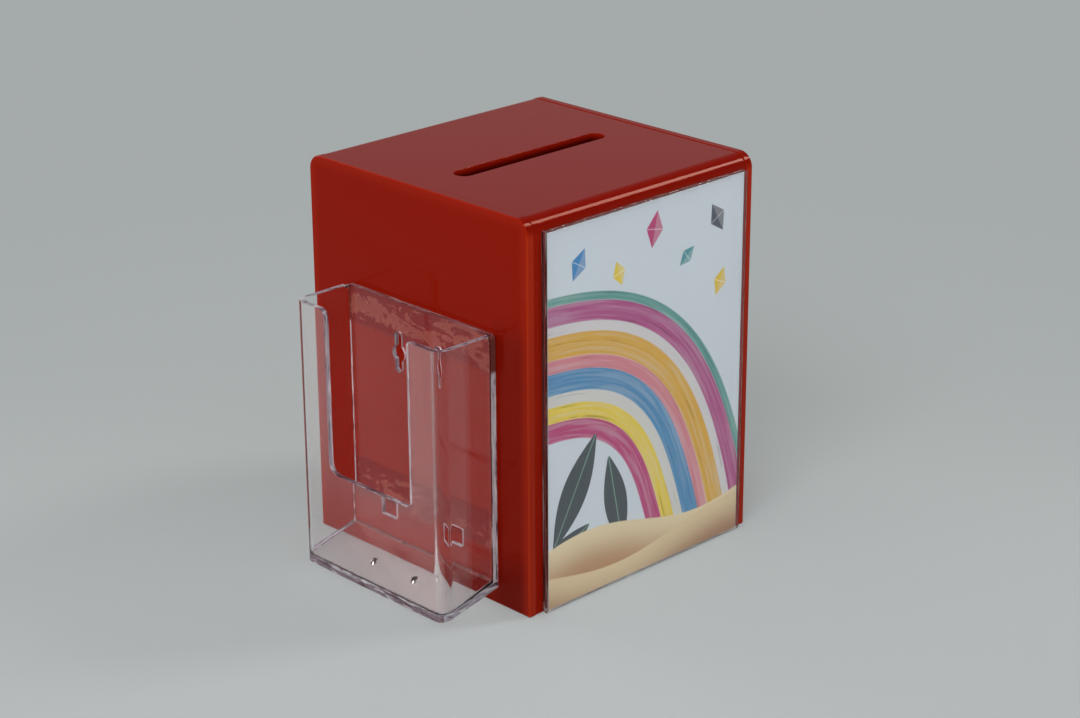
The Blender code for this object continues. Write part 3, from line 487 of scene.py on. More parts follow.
def side_painted_light(shade, place, colour, name):
    """Paints shade on a side panel beside its front edge and at its front foot, standing in for the leaflet
    holder mirrored there, and paints a glow towards its rim.
    """
    low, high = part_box(name)
    painted_shade_beside = shade.ramp(place[1], *(low[1] + reach for reach in BESIDE_FRONT))
    painted_shade_beside = shade.math("MULTIPLY", painted_shade_beside, shade.ramp(place[2], *BESIDE_HEIGHT, 0.0, 0.80))
    colour = shade.blend(painted_shade_beside, colour, RED_PAINTED_SHADE)
    foot = shade.math("MULTIPLY_ADD", place[1], FRONT_FOOT_LEAN, place[2])
    colour = shade.blend(shade.ramp(foot, *FRONT_FOOT, 0.0, 0.70), colour, RED_PAINTED_FOOT_SHADE)
    inward = shade.math("SUBTRACT", high[2], place[2])
    inward = shade.math("MINIMUM", inward, shade.math("SUBTRACT", place[1], low[1]))
    inward = shade.math("MINIMUM", inward, shade.math("SUBTRACT", high[1], place[1]))
    return shade.blend(shade.ramp(inward, *RIM_GLOW, 0.0, 0.35), colour, EDGE)


def red_acrylic(name, base, deep, edge_glow=None, flat_axis=None, side=None, top=None, fall=BODY_FALL):
    """Gloss cast acrylic, mottled at random. Its colour changes between two heights, mostly as painted shade
    towards the foot, and cut edges get a painted orange glow for the light they gather.
    """
    shade = Shade(name)
    place = shade.parts(shade.place)
    mottle_and_painted_shade = shade.math("MULTIPLY_ADD", shade.noise(9.0, 2.0), 0.3, shade.ramp(place[2], *fall, 0.0, 0.8))
    colour = shade.blend(mottle_and_painted_shade, base, deep)
    if top:
        crest = (TOP - reach for reach in TOP_TONE)
        colour = shade.blend(shade.ramp(place[2], *crest), colour, top)
    if side:
        colour = side_painted_light(shade, place, colour, side)
    if edge_glow:
        normal = shade.add("ShaderNodeTexCoord").outputs["Normal"]
        facing = shade.math("ABSOLUTE", shade.vector("DOT_PRODUCT", normal, flat_axis))
        colour = shade.blend(shade.ramp(facing, 0.25, 0.95, 1.0, 0.0), colour, edge_glow)
    colour = shade.blend(shade.math("MULTIPLY", dust(shade), 0.3), colour, DUST)
    smear = shade.ramp(shade.noise(26.0, 4.0, 0.6, 0.6), 0.35, 0.75, 0.050, 0.11)
    shade.set(
        Base_Color=colour,
        Roughness=shade.math("ADD", smear, scratches(shade, 0.06)),
        IOR=ACRYLIC,
        Specular_IOR_Level=RED_SHINE,
        Specular_Tint=RED_MIRROR,
        Normal=shade.bump(shade.noise(14.0, 1.0), 0.08, 0.0005),
    )
    return shade.material


def clear_plastic(name, tint, index, mirror, haze, shadow_tint, milk=0.0, milky_above=None):
    """Clear sheet or moulding: bends light, with faint smudges and hairlines, and slightly milky if asked."""
    shade = Shade(name)
    through = 1.0 - milk
    if milky_above:
        through = shade.ramp(shade.parts(shade.place)[2], *milky_above, 1.0, 1.0 - milk)
    smear = shade.ramp(shade.noise(38.0, 4.0, 0.6, 0.8), 0.40, 0.80, haze, haze + 0.05)
    shade.set(
        Base_Color=tint,
        Transmission_Weight=through,
        IOR=index,
        Specular_Tint=mirror,
        Roughness=shade.math("ADD", smear, scratches(shade, 0.03)),
        Normal=shade.bump(shade.noise(30.0, 1.0), 0.04, 0.0002),
    )
    return shade.lets_lamps_through(shadow_tint)


def clear_edge(name, stretch, dark, middle, light, through, index=STYRENE, dim_above=None):
    """A cut or moulded edge of clear plastic, coloured with painted light and dark streaks along its own
    direction in place of refraction and highlights.
    """
    shade = Shade(name)
    streak = shade.noise(1.0, 3.0, 0.65, 0.4, at=shade.stretched(stretch))
    colour = shade.blend(shade.ramp(streak, 0.36, 0.47), dark, middle)
    colour = shade.blend(shade.ramp(streak, 0.52, 0.62), colour, light)
    if dim_above:
        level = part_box(dim_above)[0][2]
        height = shade.parts(shade.place)[2]
        colour = shade.blend(shade.ramp(height, level - 0.001, level + 0.002), colour, DIM)
    shade.set(
        Base_Color=colour,
        Transmission_Weight=through,
        IOR=index,
        Roughness=0.12,
        Normal=shade.bump(streak, 0.25, 0.0003),
    )
    return shade.lets_lamps_through(EDGE_LAMP)


# The least share by which each tape is pressed flat, and the share at its long edges
TAPE_PRESSED = {"leaflet_tape_upper": 0.0, "leaflet_tape_lower": 0.05}
TAPE_EDGE_PRESSED = 0.09
AIR_FROM, AIR_RIM, AIR_FULL = 0.500, 0.512, 0.525


def tape_look(name):
    """Clear tape pressed between plastic and acrylic: dark where it wets both, pale where air is caught."""
    shade = Shade(name)
    height = shade.parts(shade.place)[2]
    along = shade.vector("MULTIPLY", shade.place, (1.0, 0.50, 1.5))
    large = shade.noise(85.0, 4.0, 0.60, 1.0, at=along)
    small = shade.noise(290.0, 3.0, 0.60, 0.9)
    air = shade.math("ADD", large, shade.math("MULTIPLY", shade.math("SUBTRACT", small, 0.5), 0.45))
    for tape_name, pressed in TAPE_PRESSED.items():
        low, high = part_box(tape_name)
        half = (high[2] - low[2]) / 2
        off_middle = shade.math("ABSOLUTE", shade.math("SUBTRACT", height, low[2] + half))
        wetted = shade.ramp(off_middle, half * 0.45, half, pressed, TAPE_EDGE_PRESSED)
        wetted = shade.math("MULTIPLY", wetted, shade.math("LESS_THAN", off_middle, half * 1.1))
        air = shade.math("SUBTRACT", air, wetted)
    colour = shade.blend(shade.ramp(air, AIR_FROM, AIR_FULL), (0.185, 0.0022, 0.0006), (0.262, 0.041, 0.027))
    off_rim = shade.math("ABSOLUTE", shade.math("SUBTRACT", air, AIR_RIM))
    colour = shade.blend(shade.ramp(off_rim, 0.0, 0.016, 0.7, 0.0), colour, (0.40, 0.145, 0.115))
    shade.set(Base_Color=colour, Roughness=0.45, IOR=1.45, Specular_IOR_Level=0.04)
    shade.set(Normal=shade.bump(air, 0.25, 0.0004))
    return shade.material


def metal(name, colour, roughness, spread):
    """Plated or plain steel with fine rubbed grain and darker marks."""
    shade = Shade(name)
    rubbed = shade.noise(3.0, 4.0, 0.6, at=shade.stretched((60.0, 60.0, 900.0)))
    marks = shade.noise(420.0, 3.0, 0.6)
    shade.set(
        Base_Color=shade.blend(shade.ramp(marks, 0.50, 0.80, 0.0, 0.45), colour, deeper(colour, 0.62)),
        Metallic=1.0,
        Roughness=shade.ramp(rubbed, 0.25, 0.75, roughness, roughness + spread),
        Normal=shade.bump(rubbed, 0.08, 0.00005),
    )
    return shade.material


# The printed card's design. Its lengths are shares of the page's width, from the lower left corner.
SOFT_EDGE = 0.003
FAN_CENTRE = (-0.10, 0.02, 0.0)
FAN_SCALE = 1.24
FAN_BANDS = (
    (0.52, 0.58, (0.46, 0.030, 0.160)),
    (0.58, 0.63, (0.76, 0.560, 0.040)),
    (0.63, 0.665, (0.62, 0.600, 0.560)),
    (0.665, 0.73, (0.050, 0.230, 0.440)),
    (0.73, 0.77, (0.62, 0.200, 0.240)),
    (0.77, 0.84, (0.66, 0.360, 0.025)),
    (0.84, 0.87, (0.63, 0.600, 0.600)),
    (0.87, 0.93, (0.40, 0.055, 0.210)),
    (0.93, 0.955, (0.090, 0.300, 0.260)),
)
LEAVES = (
    ((0.13, 0.42), 0.5, 0.22),
    ((0.34, 0.32), -0.2, 0.19),
    ((0.06, 0.20), 1.1, 0.16),
)
HILLS = (
    (0.20, 0.050, 0.6, (0.74, 0.600, 0.380), (0.45, 0.240, 0.110)),
    (0.11, 0.040, 2.9, (0.70, 0.540, 0.320), (0.33, 0.150, 0.070)),
)
KITES = (
    ((0.15, 1.27), 0.5, 0.062, (0.03, 0.22, 0.50)),
    ((0.35, 1.19), -0.3, 0.050, (0.74, 0.54, 0.03)),
    ((0.53, 1.31), 0.2, 0.070, (0.46, 0.02, 0.14)),
    ((0.70, 1.17), 0.9, 0.048, (0.05, 0.27, 0.30)),
    ((0.86, 1.28), -0.5, 0.064, (0.06, 0.07, 0.10)),
    ((0.88, 1.03), 0.4, 0.055, (0.70, 0.48, 0.03)),
)


def turned_on(shade, page, spot, lean):
    """Distances across and along a motif that stands on a spot of the page and leans by an angle."""
    node = shade.add("ShaderNodeVectorRotate", rotation_type="Z_AXIS")
    shade.feed(node.inputs["Vector"], shade.vector("SUBTRACT", page, (*spot, 0.0)))
    node.inputs["Angle"].default_value = lean
    return shade.parts(node.outputs[0])[:2]


def draw_fan(shade, page, colour):
    """Arcs that fan out round the page's lower left corner, streaked along their length."""
    offset = shade.vector("SUBTRACT", page, FAN_CENTRE)
    x, y, _ = shade.parts(offset)
    turn = shade.math("ARCTAN2", y, x)
    sway = shade.math("MULTIPLY", shade.math("SINE", shade.math("MULTIPLY", turn, 5.0)), 0.022)
    reach = shade.math("ADD", shade.vector("LENGTH", offset), sway)
    streak_at = shade.joined(shade.math("MULTIPLY", reach, 60.0), shade.math("MULTIPLY", turn, 2.4), 0.0)
    streak = shade.noise(1.0, 3.0, 0.6, 0.3, at=streak_at)
    for start, end, ink in FAN_BANDS:
        start, end = start * FAN_SCALE, end * FAN_SCALE
        inside = shade.math(
            "MULTIPLY",
            shade.ramp(reach, start - SOFT_EDGE, start + SOFT_EDGE),
            shade.ramp(reach, end - SOFT_EDGE, end + SOFT_EDGE, 1.0, 0.0),
        )
        tone = shade.blend(shade.ramp(streak, 0.42, 0.66), ink, paler(ink))
        tone = shade.blend(shade.ramp(streak, 0.40, 0.28), tone, deeper(ink, 0.55))
        colour = shade.blend(inside, colour, tone)
    return colour


def draw_leaves(shade, page, colour):
    """Long dark leaves inside the fan."""
    for spot, lean, size in LEAVES:
        across, along = turned_on(shade, page, spot, lean)
        across = shade.math("ABSOLUTE", across)
        taper = shade.math("COSINE", shade.math("MULTIPLY", along, 1.5 / size))
        inside = shade.math("LESS_THAN", across, shade.math("MULTIPLY", taper, size * 0.30))
        on_length = shade.math("LESS_THAN", shade.math("ABSOLUTE", along), size)
        vein = shade.ramp(across, 0.001, 0.004, 1.0, 0.0)
        tone = shade.blend(vein, (0.035, 0.050, 0.062), (0.16, 0.30, 0.22))
        colour = shade.blend(shade.math("MULTIPLY", inside, on_length), colour, tone)
    return colour


def draw_hills(shade, across, up, colour):
    """Two soft tan hills across the foot of the page."""
    for height, swing, start, light, dark in HILLS:
        wave = shade.math("SINE", shade.math("ADD", shade.math("MULTIPLY", across, 5.2), start))
        top = shade.math("ADD", shade.math("MULTIPLY", wave, swing), height)
        below = shade.math("SUBTRACT", top, up)
        tone = shade.blend(shade.ramp(below, 0.0, 0.17), light, dark)
        colour = shade.blend(shade.ramp(below, -SOFT_EDGE, SOFT_EDGE), colour, tone)
    return colour


def draw_kites(shade, page, colour):
    """Paper kites of two tones, loosely scattered over the upper part."""
    for spot, lean, size, ink in KITES:
        across, along = turned_on(shade, page, spot, lean)
        along = shade.math("ABSOLUTE", along)
        reach = shade.math("DIVIDE", shade.math("ABSOLUTE", across), size * 0.62)
        reach = shade.math("ADD", reach, shade.math("DIVIDE", along, size))
        tone = shade.blend(shade.ramp(across, -0.001, 0.001), ink, paler(ink))
        crease = shade.ramp(along, 0.0012, 0.0030, 0.35, 0.0)
        tone = shade.blend(crease, tone, (0.9, 0.9, 0.9))
        colour = shade.blend(shade.ramp(reach, 0.95, 1.05, 1.0, 0.0), colour, tone)
    return colour


def printed_card(name):
    """Glossy print on card: a generic design of arcs, leaves, hills and kites on pale blue-white."""
    shade = Shade(name)
    low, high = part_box("poster_card")
    width = high[0] - low[0]
    place = shade.parts(shade.place)
    across = shade.math("DIVIDE", shade.math("SUBTRACT", place[0], low[0]), width)
    up = shade.math("DIVIDE", shade.math("SUBTRACT", place[2], low[2]), width)
    page = shade.joined(across, up, 0.0)
    colour = shade.blend(shade.noise(900.0, 2.0), (0.605, 0.655, 0.700), (0.635, 0.685, 0.730))
    colour = draw_fan(shade, page, colour)
    colour = draw_leaves(shade, page, colour)
    colour = draw_hills(shade, across, up, colour)
    colour = draw_kites(shade, page, colour)
    normal = shade.parts(shade.add("ShaderNodeTexCoord").outputs["Normal"])
    front = shade.math("LESS_THAN", normal[1], -0.5)
    colour = shade.blend(front, (0.56, 0.58, 0.60), colour)
    shade.set(Base_Color=colour, Roughness=0.42, IOR=1.45)
    shade.set(Normal=shade.bump(shade.noise(1400.0, 2.0), 0.06, 0.0001))
    return shade.material


# The bent sheet: painted light on its front, painted shade on its top and bend and towards its foot
red_wrap = red_acrylic("red_acrylic", RED_FRONT_PAINTED_LIT, RED, top=RED_TOP_PAINTED_SHADE, fall=FRONT_FALL)
# The side panels: painted shade beside the front edge and at the front foot, and a painted glow at the rim
red_side = {
    word: red_acrylic(f"red_acrylic_{word}", RED, RED_SIDE, side=f"{word}_side_panel", fall=SIDE_FALL)
    for word in ("left", "right")
}
# Cut edges and arrises: a painted orange glow, with painted shade towards the foot and on the top
red_edge_painted_glow = red_acrylic("red_acrylic_edge_painted_glow", EDGE, deeper(EDGE, 0.75), top=RED_TOP_PAINTED_SHADE)
red_arris_painted_glow = red_acrylic("red_acrylic_arris_painted_glow", GLOW, deeper(GLOW, 0.8), top=GLOW_TOP)
# The slot's walls: painted light at the top fading to painted shade below
red_slot_painted_shade = red_acrylic("red_acrylic_slot_painted_shade", SLOT_PAINTED_LIT, SLOT_PAINTED_SHADE, fall=(TOP, TOP - SHEET))
# Door and base: painted shade towards the foot and a painted glow on their cut edges; the weld: its own dark
# joint colour with painted shade towards the foot
red_door = red_acrylic("red_acrylic_door", RED, RED_PAINTED_SHADE, GLOW, (0.0, 1.0, 0.0))
red_base = red_acrylic("red_acrylic_base", RED, RED_PAINTED_SHADE, GLOW, (0.0, 0.0, 1.0))
weld = red_acrylic("solvent_weld", WELD, WELD_PAINTED_SHADE)
# The clear pieces' edges and fold: painted streaks of light and shade
poster_looks = {
    "wall": clear_plastic("clear_acrylic", POSTER_TINT, ACRYLIC, POSTER_MIRROR, 0.010, POSTER_LAMP),
    "edge": clear_edge("clear_acrylic_edge", (500.0, 500.0, 30.0), *POLISHED, 0.55, ACRYLIC),
    "fold": clear_edge("clear_acrylic_fold", (30.0, 500.0, 500.0), *FOLD, 0.30, ACRYLIC),
}
holder_looks = {
    "wall": clear_plastic("clear_styrene", WALL_TINT, STYRENE, WALL_MIRROR, 0.015, HOLDER_LAMP),
    "across": clear_edge("clear_styrene_edge_across", (300.0, 55.0, 430.0), *LILAC, 0.50),
    "deep": clear_edge("clear_styrene_edge_deep", (90.0, 300.0, 430.0), *PALE, 0.45),
    "upright": clear_edge("clear_styrene_edge_upright", (600.0, 600.0, 40.0), *PALE, 0.40),
    "far": clear_edge("clear_styrene_edge_far", (300.0, 300.0, 40.0), *PALE, 0.85),
    "seat": clear_edge(
        "clear_styrene_edge_seat", (600.0, 600.0, 60.0), *BRIGHT, 0.30, dim_above="leaflet_tape_upper"
    ),
    "front": clear_plastic(
        "clear_styrene_front", FRONT_TINT, STYRENE, FRONT_MIRROR, 0.015, HOLDER_LAMP, FRONT_MILK, MILKY_ABOVE
    ),
    "rear": clear_edge("clear_styrene_edge_rear", (300.0, 300.0, 40.0), *FAINT, 0.25),
    "crest": clear_edge("clear_styrene_edge_crest", (300.0, 45.0, 430.0), *CREST, 0.30),
    "floor": clear_plastic("clear_styrene_floor", SLAB_TINT, STYRENE, SLAB_MIRROR, 0.03, HOLDER_LAMP),
}
tape = tape_look("clear_tape")
card = printed_card("printed_card")
zinc = metal("zinc_steel", (0.62, 0.62, 0.60), 0.24, 0.16)
chrome = metal("lock_chrome", (0.72, 0.72, 0.73), 0.08, 0.10)
key_metal = metal("key_steel", (0.60, 0.59, 0.56), 0.20, 0.16)


def give_looks(thing, looks, choose):
    """Gives each face of a piece the look that a function names for it."""
    order = list(looks)
    for face in thing.data.polygons:
        face.material_index = order.index(choose(face))


# The box of red sheet

def wrap_profile(low, high, inset=0.0):
    """The bent sheet's outline across Y and Z, drawn in by an inset."""
    front, rear = low[1] + inset, high[1] - inset
    outer, inner = BEND_RADIUS - inset, BEND_RADIUS - SHEET + inset
    thick = SHEET - 2 * inset
    front_bend = (low[1] + BEND_RADIUS, high[2] - BEND_RADIUS)
    rear_bend = (high[1] - BEND_RADIUS, high[2] - BEND_RADIUS)
    lip = high[2] - REAR_LIP + inset
    points = [(front, low[2] + inset)]
    points += arc(front_bend, outer, 180, 90, 20)
    points += arc(rear_bend, outer, 90, 0, 20)
    points += [(rear, lip), (rear - thick, lip)]
    points += arc(rear_bend, inner, 0, 90, 12)
    points += arc(front_bend, inner, 90, 180, 12)
    points.append((front + thick, low[2] + inset))
    return points


def make_wrap():
    low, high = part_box("wrap_panel")
    panel = prism("wrap", wrap_profile(low, high), low[0], high[0])
    reach = (SLOT_LENGTH - SLOT_WIDTH) / 2
    x, y = SLOT_PLACE
    slot = arc((x + reach, y), SLOT_WIDTH / 2, -90, 90, 20)
    slot += arc((x - reach, y), SLOT_WIDTH / 2, 90, 270, 20)
    cut(panel, [prism("slot_cutter", slot, high[2] - SHEET - OVER, high[2] + OVER, FACING_Z)])
    soften(panel, SHEET_BREAK)
    looks = {"sheet": red_wrap, "edge": red_edge_painted_glow, "slot": red_slot_painted_shade}
    finish_piece(panel, "box", "red_acrylic", looks.values(), "wrap_panel")
    give_looks(panel, looks, wrap_look)


def wrap_look(face):
    x, y = SLOT_PLACE
    centre, normal = face.center, face.normal
    in_length = abs(centre.x - x) < SLOT_LENGTH / 2 + MERGE
    in_width = abs(centre.y - y) < SLOT_WIDTH / 2 + MERGE
    if abs(normal.x) > 0.8 and abs(centre.x) > WRAP_END:
        return "edge"
    return "slot" if abs(normal.z) < 0.6 and in_length and in_width else "sheet"


def make_side(word):
    low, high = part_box(f"{word}_side_panel")
    front = (low[1] + SIDE_CORNER_RADIUS, high[2] - SIDE_CORNER_RADIUS)
    rear = (high[1] - SIDE_CORNER_RADIUS, high[2] - SIDE_CORNER_RADIUS)
    points = [(low[1], low[2])]
    points += arc(front, SIDE_CORNER_RADIUS, 180, 90, 20)
    points += arc(rear, SIDE_CORNER_RADIUS, 90, 0, 20)
    points.append((high[1], low[2]))
    panel = prism(f"{word}_side", points, low[0], high[0])
    outer_face = low[0] if word == "left" else high[0]
    round_over(panel, SIDE_ARRIS, lambda place: abs(place.x - outer_face) < MERGE)
    soften(panel, SIDE_BREAK, 2)
    looks = {"sheet": red_side[word], "edge": red_edge_painted_glow, "arris": red_arris_painted_glow}
    finish_piece(panel, "box", "red_acrylic", looks.values(), f"{word}_side_panel")
    give_looks(panel, looks, side_look)


def side_look(face):
    tilt = abs(face.normal.x)
    return "sheet" if tilt >= 0.97 else "edge" if tilt < 0.10 else "arris"


def make_weld(word, side):
    """The solvent weld that fills the hairline joint between the bent sheet and a side."""
    low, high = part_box("wrap_panel")
    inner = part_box(f"{word}_side_panel")[0 if side > 0 else 1][0]
    ends = sorted((inner, high[0] if side > 0 else low[0]))
    strip = prism(f"{word}_weld", wrap_profile(low, high, WELD_INSET), *ends)
    soften(strip, 0)
    finish_piece(strip, "box", "red_acrylic", [weld])


make_wrap()
for word, side in (("left", -1), ("right", 1)):
    make_side(word)
    make_weld(word, side)


# The clear poster pocket

def make_poster_holder():
    low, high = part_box("poster_holder")
    depth = high[1] - low[1]
    outer = depth / 2
    inner = outer - POSTER_LEAF
    middle = (low[1] + outer, low[2] + outer)
    points = [(low[1], high[2])] + arc(middle, outer, 180, 360, 18)
    points += [(high[1], high[2]), (high[1] - POSTER_LEAF, high[2])]
    points += arc(middle, inner, 360, 180, 12)
    points.append((low[1] + POSTER_LEAF, high[2]))
    pocket = prism("poster_pocket", points, low[0], high[0])
    soften(pocket, LEAF_BREAK, 2)
    finish_piece(pocket, "box", "clear_acrylic", poster_looks.values(), "poster_holder")

    def look(face):
        normal, height = face.normal, face.center.z
        if abs(normal.x) > 0.5 or (normal.z > 0.5 and height > high[2] - POCKET_RIM):
            return "edge"
        return "fold" if normal.z < -0.15 and height < middle[1] else "wall"

    give_looks(pocket, poster_looks, look)


make_poster_holder()


# The moulded leaflet holder

def tub(name, low, high, rise, corner, foot=0.0):
    """A box whose foot rises towards the back, with upright front edges rounded, and its foot if asked."""
    bm = bmesh.new()
    corners = []
    for x in (low[0], high[0]):
        floor = low[2] if x == low[0] else low[2] + rise
        for y in (low[1], high[1]):
            corners.append([bm.verts.new((x, y, z)) for z in (floor, high[2])])
    front_a, front_b, back_a, back_b = corners
    for first, second in ((front_a, front_b), (front_b, back_b), (back_b, back_a), (back_a, front_a)):
        bm.faces.new((first[0], second[0], second[1], first[1]))
    bm.faces.new([pair[0] for pair in (front_a, front_b, back_b, back_a)])
    bm.faces.new([pair[1] for pair in (front_a, front_b, back_b, back_a)])
    bmesh.ops.recalc_face_normals(bm, faces=bm.faces)
    middle = (low[0] + high[0]) / 2
    in_front = [edge for edge in bm.edges if all(vertex.co.x < middle for vertex in edge.verts)]
    upright = [edge for edge in in_front if abs(edge.verts[0].co.y - edge.verts[1].co.y) < MERGE]
    bevel_edges(bm, upright, corner, 10)
    if foot:
        half = (low[2] + high[2]) / 2
        level = [edge for edge in bm.edges if all(vertex.co.z < half for vertex in edge.verts)]
        bevel_edges(bm, level, foot, 4, clamp_overlap=True)
    return object_from(bm, name)


def rounded(width, height, radius, centre):
    across, up = width / 2 - radius, height / 2 - radius
    points = []
    for side, lift, start in ((1, 1, 0), (-1, 1, 90), (-1, -1, 180), (1, -1, 270)):
        points += arc((centre[0] + side * across, centre[1] + lift * up), radius, start, start + 90, 5)
    return points


def keyhole(centre):
    half = KEYHOLE_SLOT / 2
    shoulder = math.degrees(math.acos(half / KEYHOLE_RADIUS))
    y, z = centre
    points = arc((y, z), KEYHOLE_RADIUS, -shoulder, shoulder, 10)
    points += arc((y, z + KEYHOLE_UP - half), half, 0, 180, 10)
    points += arc((y, z), KEYHOLE_RADIUS, 180 - shoulder, 180 + shoulder, 10)
    points += arc((y, z + half - KEYHOLE_DOWN), half, 180, 360, 10)
    return points


def window_outline(front, rear, top):
    """The window's outline across Y and Z: open at the rim, with all its corners rounded."""
    rear_corner = (rear - WINDOW_REAR_CORNER, WINDOW_SILL + WINDOW_REAR_CORNER)
    front_corner = (front + WINDOW_FRONT_CORNER, WINDOW_SILL + WINDOW_FRONT_CORNER)
    rear_flare = (rear + WINDOW_REAR_FLARE, top + BITE - WINDOW_REAR_FLARE)
    front_flare = (front - WINDOW_FRONT_FLARE, top + BITE - WINDOW_FRONT_FLARE)
    points = [(rear_flare[0], top + OVER)]
    points += arc(rear_flare, WINDOW_REAR_FLARE, 90, 180, 8)
    points += arc(rear_corner, WINDOW_REAR_CORNER, 0, -90, 8)
    points += arc(front_corner, WINDOW_FRONT_CORNER, -90, -180, 6)
    points += arc(front_flare, WINDOW_FRONT_FLARE, 0, 90, 3)
    points.append((front_flare[0], top + OVER))
    return points


def corner_outline(side, end, top):
    """What comes off an upper corner of the back to round it, across Y and Z."""
    inset = HOLDER_BACK_CORNER - BITE
    y, z = end - side * inset, top - inset
    points = arc((y, z), HOLDER_BACK_CORNER, 180 if side < 0 else 0, 90, 8)
    return points + [(y, top + OVER), (end + side * OVER, top + OVER), (end + side * OVER, z)]


def half_cutters(low, high, side):
    """The cutters of one half of the back and the floor: keyhole, square hole, drain and corner."""
    middle = (low[1] + high[1]) / 2
    back = (high[0] - HOLDER_BACK - OVER, high[0] + OVER)
    hole = keyhole((middle + side * KEYHOLE_SPACING / 2, KEYHOLE_HEIGHT))
    square_at = (middle + side * SQUARE_SPACING / 2, SQUARE_TOP - SQUARE_HEIGHT / 2)
    square = rounded(SQUARE_WIDTH, SQUARE_HEIGHT, SQUARE_CORNER, square_at)
    drain_at = (low[0] + DRAIN_FROM_FRONT, middle + side * DRAIN_SPACING / 2)
    drain = arc(drain_at, DRAIN_RADIUS, 0, 345, 23)
    drain_top = low[2] + HOLDER_RISE + HOLDER_FLOOR + OVER
    corner = corner_outline(side, low[1] if side < 0 else high[1], high[2])
    return [
        prism(f"keyhole_cutter_{side}", hole, *back),
        prism(f"square_cutter_{side}", square, *back),
        prism(f"drain_cutter_{side}", drain, low[2] - OVER, drain_top, FACING_Z),
        prism(f"corner_cutter_{side}", corner, high[0] - CORNER_CUT, high[0] + OVER),
    ]


def make_leaflet_holder():
    low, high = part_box("leaflet_holder")
    holder = tub("leaflet_pocket", low, high, HOLDER_RISE, HOLDER_CORNER)
    inner_low = (low[0] + HOLDER_WALL, low[1] + HOLDER_WALL, low[2] + HOLDER_FLOOR)
    inner_high = (high[0] - HOLDER_BACK, high[1] - HOLDER_WALL, high[2] + OVER)
    inner_corner = HOLDER_CORNER - HOLDER_WALL
    pocket = tub("pocket_cutter", inner_low, inner_high, HOLDER_RISE, inner_corner, POCKET_FOOT_CORNER)
    window = (low[1] + WINDOW_FRONT_STRIP, high[1] - WINDOW_REAR_STRIP)
    outline = window_outline(*window, high[2])
    opening = prism("window_cutter", outline, low[0] - OVER, low[0] + HOLDER_WALL + OVER)
    cut(holder, [pocket, opening, *half_cutters(low, high, -1), *half_cutters(low, high, 1)])
    slope = HOLDER_RISE / (high[0] - low[0])
    split(holder, (low[0], 0, low[2] + HOLDER_FLOOR + EDGE_REACH), (-slope, 0, 1))
    split(holder, (high[0] - HOLDER_BACK - EDGE_REACH, 0, 0), (1, 0, 0))
    soften(holder, HOLDER_BREAK, 2, 35, 50)
    finish_piece(holder, "box", "clear_styrene", holder_looks.values(), "leaflet_holder")
    give_looks(holder, holder_looks, lambda face: holder_look(face, low, high, slope, window))


def holder_look(face, low, high, slope, window):
    """Names a face's look: rim, window's edge, floor slab and the back's edges each have their own.

    A number beside a part of the normal is the cosine of the face's angle to that axis.
    """
    normal, centre = face.normal, face.center
    above_floor = centre.z - (low[2] + HOLDER_FLOOR + EDGE_REACH + slope * (centre.x - low[0]))
    near = HOLDER_CORNER + MERGE
    outside = centre.x < low[0] + near or min(centre.y - low[1], high[1] - centre.y) < near
    at_front = centre.x < low[0] + HOLDER_WALL + MERGE
    in_front_wall = at_front and above_floor > CLEAR_OF_FLOOR
    by_window = window[0] - PAST_WINDOW[0] < centre.y < window[1] + PAST_WINDOW[1]
    if centre.z > high[2] - RIM_BAND and normal.z > 0.3:
        on_back = centre.x > high[0] - HOLDER_BACK - BACK_BAND
        return "crest" if on_back else "across" if in_front_wall else "deep"
    if in_front_wall and abs(normal.x) < 0.8 and by_window:
        return "across" if abs(normal.z) > abs(normal.y) else "upright"
    if above_floor < 0.0 and abs(normal.z) < 0.75 and outside and normal.x < 0.5:
        return "across" if abs(normal.x) > abs(normal.y) else "deep" if normal.y < 0 else "far"
    if centre.x > high[0] - HOLDER_BACK - EDGE_REACH - MERGE and abs(normal.x) < 0.95 and outside:
        at_corner = centre.z > high[2] - HOLDER_BACK_CORNER
        return "seat" if normal.y < 0 else "crest" if at_corner else "wall"
    if centre.x > high[0] - HOLDER_BACK + MERGE and abs(normal.x) < 0.8 and above_floor > 0.0:
        return "upright"
    if at_front and abs(normal.x) > 0.98 and above_floor > 0.0:
        return "front"
    faces_out = normal.x < -0.35
    if abs(above_floor) < SLAB_BAND and 0.1 < normal.z < 0.96 and (outside or faces_out):
        return "rear" if faces_out and centre.x > (low[0] + high[0]) / 2 else "far"
    return "floor" if abs(normal.z) > 0.96 and above_floor < SLAB_TOP else "wall"


make_leaflet_holder()


# The nodes that stay, in their materials

def dress(look, *names):
    for name in names:
        nodes[name].data.materials.clear()
        nodes[name].data.materials.append(look)


dress(tape, "leaflet_tape_upper", "leaflet_tape_lower")
dress(card, "poster_card")


# Small pieces with their edges broken, as stamping and moulding leave them

def refined(name, body, slot, look, width):
    thing = bpy.data.objects.new(f"{name}_finished", nodes[name].data.copy())
    bpy.context.scene.collection.objects.link(thing)
    soften(thing, width, 2, 30, 40)
    finish_piece(thing, body, slot, [look], name)


def cross_recess(name):
    """Two crossed slots for a screwdriver, at the outer end of a bolt."""
    low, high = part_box(name)
    x, z = (low[0] + high[0]) / 2, (low[2] + high[2]) / 2
    cutters = []
    slots = (("level", RECESS_LENGTH, RECESS_WIDTH), ("upright", RECESS_WIDTH, RECESS_LENGTH))
    for word, across, up in slots:
        near = (x - across / 2, high[1] - RECESS_DEPTH, z - up / 2)
        far = (x + across / 2, high[1] + OVER, z + up / 2)
        cutters.append(box_solid(f"{name}_{word}_slot", near, far))
    return cutters


